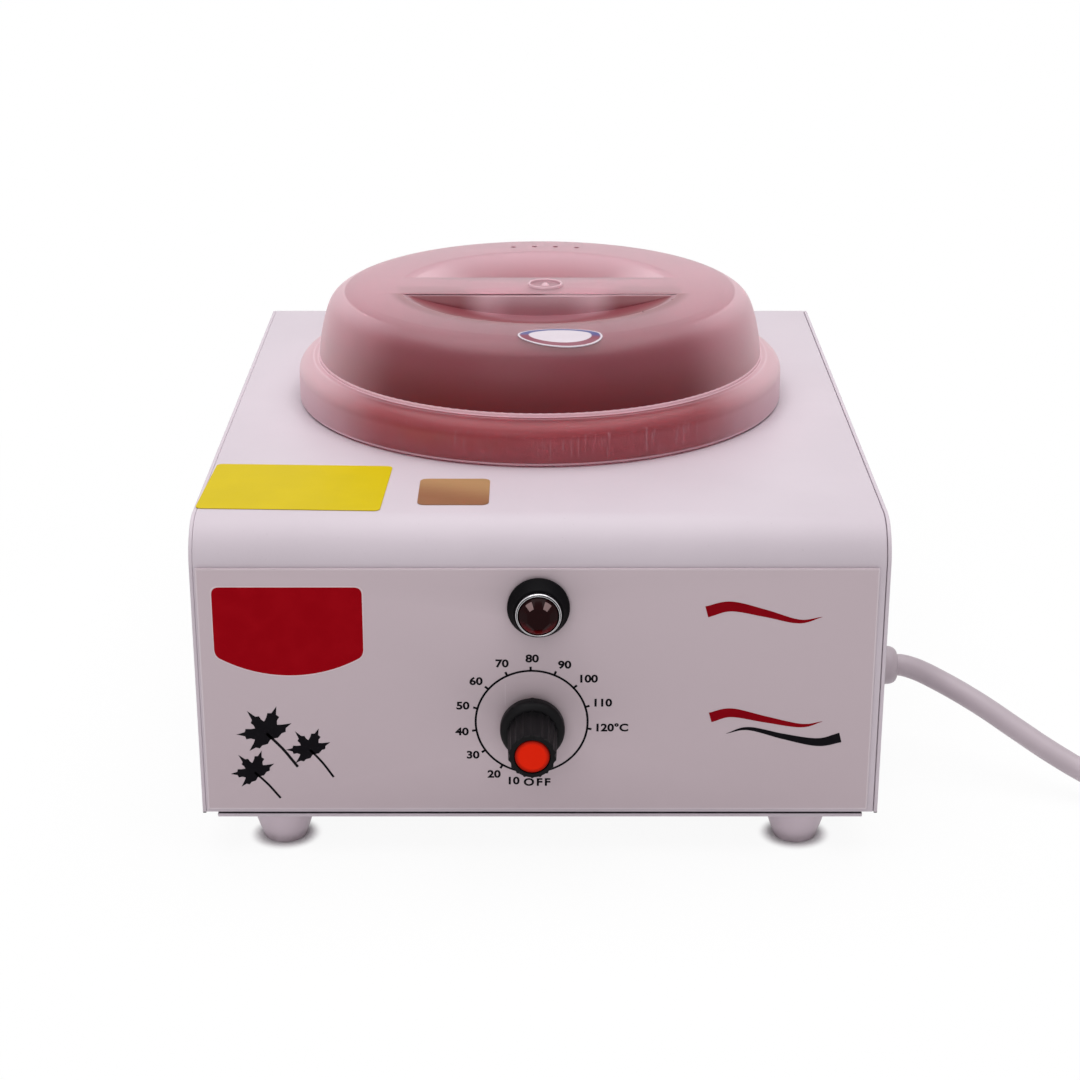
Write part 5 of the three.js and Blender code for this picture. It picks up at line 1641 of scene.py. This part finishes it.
class HEATER_OT_lamp(bpy.types.Operator):
    """Makes the lamp: tapered collar, chrome ring and cut jewel"""

    bl_idname = "heater.lamp"
    bl_label = "Lamp"

    def execute(self, context):
        size = Sizes("heater_lamp")
        self.add_collar(size)
        seat = self.add_bezel(size)
        self.add_jewel(size, seat)
        return {"FINISHED"}

    def add_collar(self, size):
        back, front = stands_out("lamp_collar")
        hole, edge = size.hole, size.edge
        profile = [
            (hole, back), (size.collar - edge, back),
            *arc(size.collar - edge, back + edge, edge, -70, 0, 4),
            *arc(size.collar - edge, back + size.collar_edge, edge, 0, 60, 5),
            *arc(size.collar_front - edge, front - edge, edge, 20, 90, 6),
            (hole + 0.2, front), (hole, front - 0.2), (hole, back),
        ]
        collar = turned(profile, (LAMP.x, 0, LAMP.z), "front", steps=96)
        finish(collar, "lamp_collar_turned", lamp_black, "black_plastic", "lamp_collar", smooth=40)

    def add_bezel(self, size):
        """Two chrome steps with a groove between them."""
        back, front = stands_out("lamp_bezel")
        inner, outer = size.bezel_hole, size.bezel
        step = (outer - inner) / 2
        profile = [
            (inner, back), (outer, back), (outer, front - 2 * step),
            *arc(outer - step, front - 2 * step, step, 0, 80, 6),
            (outer - step * 1.1, front - step * 1.2),
            *arc(inner + step / 2, front - step / 2, step / 2, 0, 180, 8),
            (inner, back),
        ]
        bezel = turned(profile, (LAMP.x, 0, LAMP.z), "front", steps=96)
        finish(bezel, "lamp_bezel_ring", chrome, "chrome", "lamp_bezel", smooth=45)
        return back

    def add_jewel(self, size, seat):
        """A cut jewel: round girdle, eight crown facets and an eight-sided table."""
        pick()
        bpy.ops.mesh.primitive_cylinder_add(
            vertices=3 * size.facets, radius=size.jewel * MM, depth=size.girdle * MM,
            location=spot(LAMP.x, -seat - size.girdle / 2, LAMP.z),
            rotation=(math.pi / 2, math.pi / (3 * size.facets), 0),
        )
        jewel = bpy.context.object
        bpy.ops.object.transform_apply(location=True, rotation=True, scale=True)
        ring = [(size.table * math.cos(a), size.table * math.sin(a)) for a in
                [TURN * (i + 0.5) / size.facets for i in range(size.facets)]]
        table = seat + size.girdle + size.crown
        top = plate([(LAMP.x + x, -table, LAMP.z + z) for x, z in ring], (0, TABLE_THICK, 0))
        jewel = join(top, jewel)
        edit(jewel)
        bpy.ops.mesh.convex_hull()
        jewel = close_up()
        soften(jewel, size.jewel_edge, segments=2, angle=12)
        finish(jewel, "lamp_jewel", red_jewel, "jewel", "lamp_lens", smooth=10)


TABLE_THICK = 0.05  # of the plate that the jewel's table is drawn from


# Printing on the front: scale, badge, leaves and waves
INK = 0.03  # how far printing stands on what carries it


def inked(outlines, layer=1):
    """Fills closed outlines of the front, some of them holes in others, to the ink's thickness."""
    curve = bpy.data.curves.new("ink", "CURVE")
    curve.dimensions = "2D"
    curve.fill_mode = "BOTH"
    curve.extrude = INK * MM * layer / 2
    for outline in outlines:
        spline = curve.splines.new("POLY")
        spline.points.add(len(outline) - 1)
        for point, (x, up) in zip(spline.points, outline):
            point.co = (x * MM, up * MM, 0, 1)
        spline.use_cyclic_u = True
    drawn = bpy.data.objects.new("ink", curve)
    bpy.context.scene.collection.objects.link(drawn)
    return ink_to_front(drawn, 0, 0, layer)


def ink_to_front(drawn, x, up, layer=1):
    pick(drawn)
    bpy.ops.object.convert(target="MESH")
    edit(bpy.context.object)
    return settle(close_up(), UPRIGHT, x, -OVERLAY_FACE - INK * layer / 2, up)


def lettered(words, x, up, height, spacing=1.0):
    """Bold plain figures, centred on a place of the front."""
    pick()
    bpy.ops.object.text_add()
    text = bpy.context.object
    text.data.body = words
    text.data.size = height / FIGURE_SHARE * MM
    text.data.align_x = text.data.align_y = "CENTER"
    text.data.space_character = spacing
    text.data.resolution_u = FIGURE_STEPS
    text.data.offset = height * FIGURE_BOLD * MM
    text.scale.x = FIGURE_WIDE
    text.data.extrude = INK * MM / 2
    return ink_to_front(text, x, up)


FIGURE_SHARE = 0.73  # a figure's height, of the type's size
FIGURE_STEPS = 4  # steps of each curve of a figure; more of them break the fattened ones
FIGURE_WIDE = 1.16  # how much wider the figures are than the type
FIGURE_BOLD = 0.05  # how much the figures are fattened, of their height


def from_dial(degrees, radius):
    """A place on the front: an angle clockwise from the dial's top, and a distance."""
    angle = math.radians(degrees)
    x, up = KNOB.x + SCALE_SHIFT, KNOB.z + SCALE_RISE
    return x + radius * math.sin(angle), up + radius * math.cos(angle)


SCALE_SHIFT = -0.28  # the printed scale sits this much beside the knob's axis
SCALE_RISE = 1.15  # and this much higher than it
SCALE = (  # figures, their angle from the top and their distance as shares of the ring's radius
    ("20", -147, 1.245), ("30", -122, 1.245), ("40", -99, 1.26), ("50", -75.7, 1.265),
    ("60", -51.3, 1.265), ("70", -24.8, 1.25), ("80", 0.5, 1.23), ("90", 27.8, 1.255),
    ("100", 50, 1.305), ("110", 73.6, 1.31), ("120°C", 94.8, 1.43), ("10", -164, 1.225),
)
FIRST_TICK = -148.5  # in degrees from the dial's top, and from one tick to the next
TICK_STEP = 24.6
TICKS = 11


class HEATER_OT_scale(bpy.types.Operator):
    """Prints the temperature scale: ring, ticks and plain figures"""

    bl_idname = "heater.scale"
    bl_label = "Dial scale"

    def execute(self, context):
        size = Sizes("heater_print")
        half = size.line / 2
        x, up = KNOB.x + SCALE_SHIFT, KNOB.z + SCALE_RISE
        rings = [arc(x, up, size.ring + side * half, 0, 360, 96)[:-1] for side in (1, -1)]
        marks = [inked(rings)]
        for i in range(TICKS):
            marks.append(self.tick(size, FIRST_TICK + TICK_STEP * i, half))
        for words, degrees, distance in SCALE:
            x, up = from_dial(degrees, distance * size.ring)
            marks.append(lettered(words, x, up, size.figure))
        x, up = from_dial(*OFF_PLACE)
        marks.append(lettered("OFF", x, up, size.figure, spacing=1.3))
        finish(join(*marks), "dial_scale", black_ink, None)
        return {"FINISHED"}

    def tick(self, size, degrees, half):
        turn = math.degrees(half / size.ring)
        start, end = size.ring, size.ring + size.tick
        return inked([[from_dial(degrees - turn, start), from_dial(degrees + turn, start),
                       from_dial(degrees + turn, end), from_dial(degrees - turn, end)]])


OFF_PLACE = (175.5, 22.5)  # angle and distance of the word OFF


class HEATER_OT_badge(bpy.types.Operator):
    """Prints the plain red badge with its pale outline"""

    bl_idname = "heater.badge"
    bl_label = "Badge"

    def execute(self, context):
        size = Sizes("heater_print")
        pale = inked([badge_outline(size, BADGE_BORDER)])
        finish(pale, "badge_border", pale_ink, None)
        red = inked([badge_outline(size, 0)], layer=2)
        finish(red, "badge_field", badge_red, None)
        return {"FINISHED"}


BADGE_BORDER = 0.45  # width of the pale outline, and rounding of the badge's corners
BADGE_CORNER = 2.6


def badge_outline(size, outset):
    """A rounded rectangle whose lower side bows down."""
    half = size.badge_width / 2
    bow = size.badge_bow
    radius = (half * half + bow * bow) / (2 * bow)
    sweep = math.degrees(math.asin(half / radius))
    x = OVERLAY_LOW.x + size.badge_inset + half
    side = COVER_FOOT + size.badge_side
    lower = arc(x, side + radius - bow, radius + outset, -90 - sweep, -90 + sweep, 24)
    top = COVER_FOOT + size.badge_top + outset
    corners = [(x + half + outset, top), (x - half - outset, top)]
    return rounded([*lower, *corners], BADGE_CORNER, {0, 24, 25, 26})


def rounded(points, radius, which):
    """Rounds the corners of a closed outline that have the given numbers."""
    curve = []
    for i, point in enumerate(points):
        here = Vector(point)
        if i not in which:
            curve.append(tuple(here))
            continue
        before, after = Vector(points[i - 1]), Vector(points[(i + 1) % len(points)])
        reach_in = min(radius, (before - here).length * 0.9)
        reach_out = min(radius, (after - here).length * 0.9)
        start = here + (before - here).normalized() * reach_in
        end = here + (after - here).normalized() * reach_out
        for k in range(7):
            t = k / 6
            curve.append(tuple(start * (1 - t) ** 2 + here * (2 * t * (1 - t)) + end * t**2))
    return curve


class HEATER_OT_ornaments(bpy.types.Operator):
    """Prints three leaves at the lower left and three waves at the right"""

    bl_idname = "heater.ornaments"
    bl_label = "Leaves and waves"

    def execute(self, context):
        leaves = [inked([leaf_outline(*leaf)]) for leaf in LEAVES]
        leaves += [inked([ribbon(leaf_stem(*leaf))]) for leaf in LEAVES]
        finish(join(*leaves), "leaf_print", black_ink, None)
        for name, wave, paint in (("wave_upper", WAVES[0], wave_red),
                                  ("wave_middle", WAVES[1], wave_red),
                                  ("wave_lower", WAVES[2], black_ink)):
            finish(inked([ribbon(wave)]), name, paint, None)
        return {"FINISHED"}


# Each leaf: its middle across and up, its size and its turn in degrees.
LEAVES = ((-91, 45.8, 9.6, -37), (-76.8, 39.8, 7.7, -35), (-95.6, 31.4, 7.7, -39))
# Half a leaf, from its tip round to its stem: degrees from the tip and shares of its size.
LEAF_SHARES = (
    (0, 1.08), (7, 0.74), (17, 0.7), (19, 0.56), (28, 0.46), (38, 0.62), (41, 0.78), (51, 0.8),
    (57, 1.1), (63, 0.8), (73, 0.78), (74, 0.62), (85, 0.5), (95, 0.64), (103, 0.96),
    (110, 0.7), (122, 0.66), (126, 0.52), (150, 0.42), (172, 0.28),
)
STEM_SHARES = ((0, 0), (0.07, -0.8), (0.05, -1.65))  # the stem's way, of the leaf's size
STEM_HALF = 0.05  # half the stem's thickness, of the leaf's size


def leaf_outline(x, up, size, turn):
    right = [(angle, reach) for angle, reach in LEAF_SHARES]
    left = [(-angle * 0.97, reach * 0.96) for angle, reach in reversed(LEAF_SHARES[1:])]
    points = []
    for angle, reach in [*right, *left]:
        a = math.radians(angle + turn)
        points.append((x + size * reach * math.sin(a), up + size * reach * math.cos(a)))
    return points


def leaf_stem(x, up, size, turn):
    a = math.radians(turn)
    return [
        (x + size * (p * math.cos(a) + q * math.sin(a)),
         up + size * (q * math.cos(a) - p * math.sin(a)), size * STEM_HALF)
        for p, q in STEM_SHARES
    ]


# Each wave's middle line, from left to right: across, up and half its thickness.
WAVES = (
    ((54.4, 89.7, 2), (62.3, 91.6, 1.75), (73.5, 89.2, 1.3), (84.7, 86.3, 0.7), (92.2, 87.9, 0.05)),
    ((56.5, 51.7, 1.8), (63.5, 53.4, 1.6), (74.8, 51, 1.15), (86.9, 48.7, 0.65),
     (93.8, 50.2, 0.05)),
    ((62, 45.8, 0.05), (69.3, 47.6, 0.6), (81.1, 44.7, 1), (92.5, 42.6, 1.45), (100.1, 44.3, 1.8)),
)


def ribbon(points):
    """The outline of a band that follows a smooth line and swells with it."""
    line = smooth_line(points, 10)
    upper, lower = [], []
    for i, (x, up, half) in enumerate(line):
        before, after = line[max(i - 1, 0)], line[min(i + 1, len(line) - 1)]
        way = Vector((after[0] - before[0], after[1] - before[1])).normalized()
        upper.append((x - way.y * half, up + way.x * half))
        lower.append((x + way.y * half, up - way.x * half))
    return [*upper, *reversed(lower)]


class HeaterHousing(bpy.types.PropertyGroup):
    sheet: length("Sheet", 1.2, "Thickness of the housing's sheet metal")
    bend: length("Bend", 14, "Outer radius of the cover's two bends")
    edge: length("Edge", 0.25, "Rounding of the sheet metal's edges")
    flange: length("Flange", 16, "Width of the side panels' inner flange")
    gland_hole: length("Gland hole", 6.2, "Radius of the hole that the gland passes through")
    slot_row: length("Slot rows", 47, "From the front and back to the middle of the air slots")
    slot_count: count("Slots", 5, "Air slots in each row of the base")
    slot_pitch: length("Slot pitch", 9, "From one air slot to the next")
    slot_width: length("Slot width", 3, "Width of an air slot")
    slot_length: length("Slot length", 36, "Length of an air slot")
    overlay_edge: length("Overlay edge", 0.3, "Rounding of the front sheet's edges")


class HeaterFeet(bpy.types.PropertyGroup):
    bottom: length("Bottom radius", 7.5, "Radius of a foot on the floor")
    top: length("Top radius", 10.7, "Radius of a foot under the base")
    edge: length("Edge", 0.9, "Rounding of a foot's edges")
    bow: length("Bow", 0.35, "How far a foot's flank swells")
    hole: length("Hole", 2.3, "Radius of the screw's hole")
    recess: length("Recess", 3.8, "Radius of the recess for the screw's head")
    recess_depth: length("Recess depth", 7, "Depth of the recess for the screw's head")


class HeaterPot(bpy.types.PropertyGroup):
    radius: length("Radius", 78, "Outer radius of the pot under its rim")
    taper: length("Taper", 3, "How much narrower the pot is at its floor")
    corner: length("Corner", 9, "Rounding between the pot's wall and floor")
    wall: length("Wall", 1.2, "Thickness of the pot")
    rim: length("Rim", 10.3, "How far the rim reaches past the pot's wall")
    roll: length("Roll", 5.5, "Outer rounding of the rim")
    inner_roll: length("Inner roll", 2.5, "Inner rounding of the rim")
    well_wall: length("Well wall", 1.5, "Thickness of the well that holds the pot")


class HeaterLid(bpy.types.PropertyGroup):
    skirt: length("Skirt", 91, "Outer radius of the lid's skirt")
    skirt_edge: length("Skirt edge", 0.5, "Rounding of the skirt's lower edge")
    wall: length("Wall", 1.5, "Thickness of the lid")
    shoulder: length("Shoulder", 7.4, "Width of the rounded shoulder")
    skirt_height: length("Skirt height", 16.9, "From the top plate to the dome's foot")
    shoulder_rise: length("Shoulder rise", 5.4, "Height of the rounded shoulder")
    step: length("Step", 0.9, "Height of the step at the dome's foot")
    dome_inset: length("Dome inset", 0.4, "From the step to the dome")
    height: length("Height", 41, "From the top plate to the lid's top")
    recess: length("Recess", 53, "Radius of the two finger recesses together")
    recess_depth: length("Recess depth", 9, "Depth of the finger recesses")
    recess_edge: length("Recess edge", 0.7, "Rounding of the recesses' edges")
    bar: length("Grip bar", 24, "Width of the grip bar between the recesses")
    vent: length("Vent", 1.05, "Radius of a vent")
    vent_count: count("Vents", 4, "Vents at the lid's rear")
    vent_pitch: length("Vent pitch", 8.4, "From one vent to the next")
    vent_circle: length("Vent circle", 60.5, "Radius of the circle that the vents lie on")


class HeaterKnob(bpy.types.PropertyGroup):
    skirt: length("Skirt", 10.75, "Radius of the knob's skirt")
    skirt_depth: length("Skirt depth", 2.6, "Depth of the skirt's straight part")
    dome: length("Dome", 2.6, "Rise of the skirt's rounded shoulder")
    grip_back: length("Grip, back", 8.4, "Radius of the grip at the skirt")
    grip_front: length("Grip, front", 7.9, "Radius of the grip at its end")
    flutes: count("Flutes", 18, "Hollow flutes round the grip")
    flute_depth: length("Flute depth", 0.55, "Depth of a flute")
    edge: length("Edge", 0.6, "Rounding of the knob's edges")
    hollow: length("Hollow", 8.9, "Radius of the hollow in the knob's back")
    hollow_depth: length("Hollow depth", 4, "Depth of the hollow in the knob's back")
    pointer: length("Pointer", 1.4, "Width of the pointer ridge")
    pointer_rise: length("Pointer rise", 0.9, "How far the pointer stands past the skirt")
    cap: length("Cap", 5.7, "Radius of the coloured disc")
    cap_depth: length("Cap depth", 1.6, "Depth of the disc's seat")
    cap_edge: length("Cap edge", 0.5, "Rounding of the disc")


class HeaterLamp(bpy.types.PropertyGroup):
    hole: length("Hole", 6.3, "Radius of the hole through the collar")
    collar: length("Collar", 10.25, "Radius of the collar at the front sheet")
    collar_front: length("Collar, front", 8.3, "Radius of the collar at its front")
    collar_edge: length("Collar edge", 1.3, "Depth of the collar's straight edge")
    edge: length("Edge", 0.45, "Rounding of the collar's edges")
    bezel: length("Bezel", 7.5, "Radius of the chrome ring")
    bezel_hole: length("Bezel hole", 6.7, "Inner radius of the chrome ring")
    jewel: length("Jewel", 6.4, "Radius of the jewel's girdle")
    girdle: length("Girdle", 1.7, "Depth of the jewel's girdle")
    crown: length("Crown", 2.6, "Rise of the jewel's facets")
    table: length("Table", 3.9, "Radius of the jewel's table")
    facets: count("Facets", 8, "Facets round the jewel")
    jewel_edge: length("Jewel edge", 0.12, "Rounding of the jewel's edges")


class HeaterPrint(bpy.types.PropertyGroup):
    ring: length("Ring", 18.6, "Radius of the scale's ring")
    line: length("Line", 0.72, "Thickness of the ring and the ticks")
    tick: length("Tick", 1.5, "Length of a tick")
    figure: length("Figure", 2.75, "Height of the figures")
    badge_width: length("Badge width", 49, "Width of the badge")
    badge_inset: length("Badge inset", 5, "From the front sheet's left edge to the badge")
    badge_top: length("Badge top", 82.3, "From the cover's lower edge to the badge's top")
    badge_side: length("Badge side", 58, "From the cover's lower edge to the badge's lower corners")
    badge_bow: length("Badge bow", 7, "How far the badge's lower side bows down")


class HeaterLead(bpy.types.PropertyGroup):
    radius: length("Cord radius", 4, "Half the thickness of the mains cord")
    gland: length("Gland", 7.9, "Radius of the gland's flange")
    gland_edge: length("Gland edge", 0.5, "Rounding of the gland's flange")
    neck: length("Neck", 5.9, "Radius of the gland's neck in the side panel")
    sleeve: length("Sleeve", 26, "Length of the plug's ribbed sleeve")
    sleeve_end: length("Sleeve end", 5.4, "Radius of the sleeve where the cord leaves it")
    plug_edge: length("Plug edge", 1.2, "Rounding of the plug's face")
    pin_tip: length("Pin tip", 0.8, "Rounding of the pins' ends")


class HeaterColours(bpy.types.PropertyGroup):
    paint: colour("Paint", 208, 196, 205, "Powder paint of the housing")
    # Darker patches at the housing's foot and on the feet.
    low_darkening: colour("Dust", 140, 126, 132, "Grime at the housing's foot and on the feet")
    overlay: colour("Overlay", 197, 180, 187, "Printed plastic sheet on the front")
    # The overlay edge colour is the painted highlight of the sheet's cut edge, and the pale of its
    # scratch.
    overlay_edge: colour("Overlay edge", 222, 210, 217, "Cut edge of the front sheet")
    foot: colour("Foot", 210, 194, 204, "Moulded plastic of the feet")
    yellow: colour("Yellow", 208, 184, 6, "Paper of the yellow label")
    # The gold label's bright and dark colours make its painted band of light.
    gold: colour("Gold", 198, 164, 114, "Bright part of the gold label")
    gold_deep: colour("Gold, deep", 158, 112, 76, "Dark part of the gold label")
    pot: colour("Pot", 168, 16, 34, "Enamel of the wax pot")
    lid: colour("Lid", 218, 126, 144, "Frosted plastic of the lid")
    # The lid's low colour is a painted shade at the dome's foot.
    lid_low: colour("Lid, low", 186, 34, 54, "Foot of the lid's dome")
    # The lid's top colour is painted light on the flat top.
    lid_top: colour("Lid, top", 216, 172, 184, "Flat top of the lid")
    # The lid's recess colour is a painted shade in the front recess.
    lid_recess_shade: colour("Lid, recess", 132, 26, 42, "Deep rim of the front finger recess")
    lid_shoulder: colour("Lid, shoulder", 214, 122, 135, "Rounded shoulder of the lid's skirt")
    lid_skirt: colour("Lid, skirt", 228, 148, 160, "Lower wall of the lid's skirt")
    # This colour is the lid's painted highlights and painted pale light, and the pale of its
    # scratches.
    lid_light_and_scratch: colour("Lid, lines", 232, 192, 202, "Bright edges, scratches and frost of the lid")
    ink: colour("Ink", 20, 18, 22, "Black printing")
    badge: colour("Badge", 150, 2, 16, "Field of the badge")
    badge_edge: colour("Badge, edge", 214, 196, 202, "Outline of the badge")
    wave: colour("Wave", 132, 4, 18, "Red waves")
    # Black is also the painted shadow in the gap between the cover and the base plate.
    black: colour("Black", 13, 12, 14, "Plastic of the knob and the lamp's collar")
    cap: colour("Cap", 232, 34, 3, "Disc in the knob's end")
    cap_rim: colour("Cap, rim", 150, 20, 6, "Rim of the disc in the knob's end")
    jewel: colour("Jewel", 30, 4, 6, "Jewel of the lamp")
    # The jewel's facet colour is a painted reflection.
    jewel_facet_reflection: colour("Jewel, facet", 150, 124, 124, "The jewel's two upper facets")
    # The jewel's glow colour is painted light in its lower rim.
    jewel_painted_glow: colour("Jewel, glow", 84, 8, 12, "Lower rim of the jewel")
    label: colour("Lid label", 208, 196, 205, "Paper of the oval label")
    label_border: colour("Lid label, border", 120, 30, 60, "Lower border of the oval label")
    label_border_top: colour("Lid label, top", 50, 50, 120, "Upper border of the oval label")
    lead: colour("Lead", 186, 172, 180, "Soft plastic of the cord and its plug")


class HeaterLight(bpy.types.PropertyGroup):
    above: power("Above", 25, "Power of the lamp above")
    front: power("Front", 6, "Power of the lamp in front")
    around: share("Around", 0.25, "Strength of the even light from all round")


GROUPS = {
    "heater_colours": HeaterColours,
    "heater_light": HeaterLight,
    "heater_housing": HeaterHousing,
    "heater_feet": HeaterFeet,
    "heater_pot": HeaterPot,
    "heater_lid": HeaterLid,
    "heater_knob": HeaterKnob,
    "heater_lamp": HeaterLamp,
    "heater_print": HeaterPrint,
    "heater_lead": HeaterLead,
}
OPERATORS = (
    HEATER_OT_stage,
    HEATER_OT_lead,
    HEATER_OT_housing,
    HEATER_OT_overlay,
    HEATER_OT_feet,
    HEATER_OT_screws,
    HEATER_OT_stickers,
    HEATER_OT_pot,
    HEATER_OT_lid,
    HEATER_OT_knob,
    HEATER_OT_lamp,
    HEATER_OT_scale,
    HEATER_OT_badge,
    HEATER_OT_ornaments,
    HEATER_OT_inside,
)


class HEATER_PT_panel(bpy.types.Panel):
    """Lists the heater's pieces and the values that shape them"""

    bl_idname = "HEATER_PT_panel"
    bl_label = "Wax Heater"
    bl_space_type = "VIEW_3D"
    bl_region_type = "UI"
    bl_category = "Wax Heater"

    def draw(self, context):
        for operator in OPERATORS:
            self.layout.operator(operator.bl_idname)
        for name, group in GROUPS.items():
            box = self.layout.box()
            for value in group.__annotations__:
                box.prop(getattr(context.scene, name), value)


def register():
    for name, group in GROUPS.items():
        bpy.utils.register_class(group)
        setattr(bpy.types.Scene, name, PointerProperty(type=group))
    for operator in OPERATORS:
        bpy.utils.register_class(operator)
    bpy.utils.register_class(HEATER_PT_panel)


def unregister():
    bpy.utils.unregister_class(HEATER_PT_panel)
    for operator in reversed(OPERATORS):
        bpy.utils.unregister_class(operator)
    for name, group in reversed(GROUPS.items()):
        delattr(bpy.types.Scene, name)
        bpy.utils.unregister_class(group)


def main():
    register()
    for operator in OPERATORS:
        step = getattr(bpy.ops.heater, operator.bl_idname.split(".")[1])
        step()


if __name__ == "__main__":
    main()
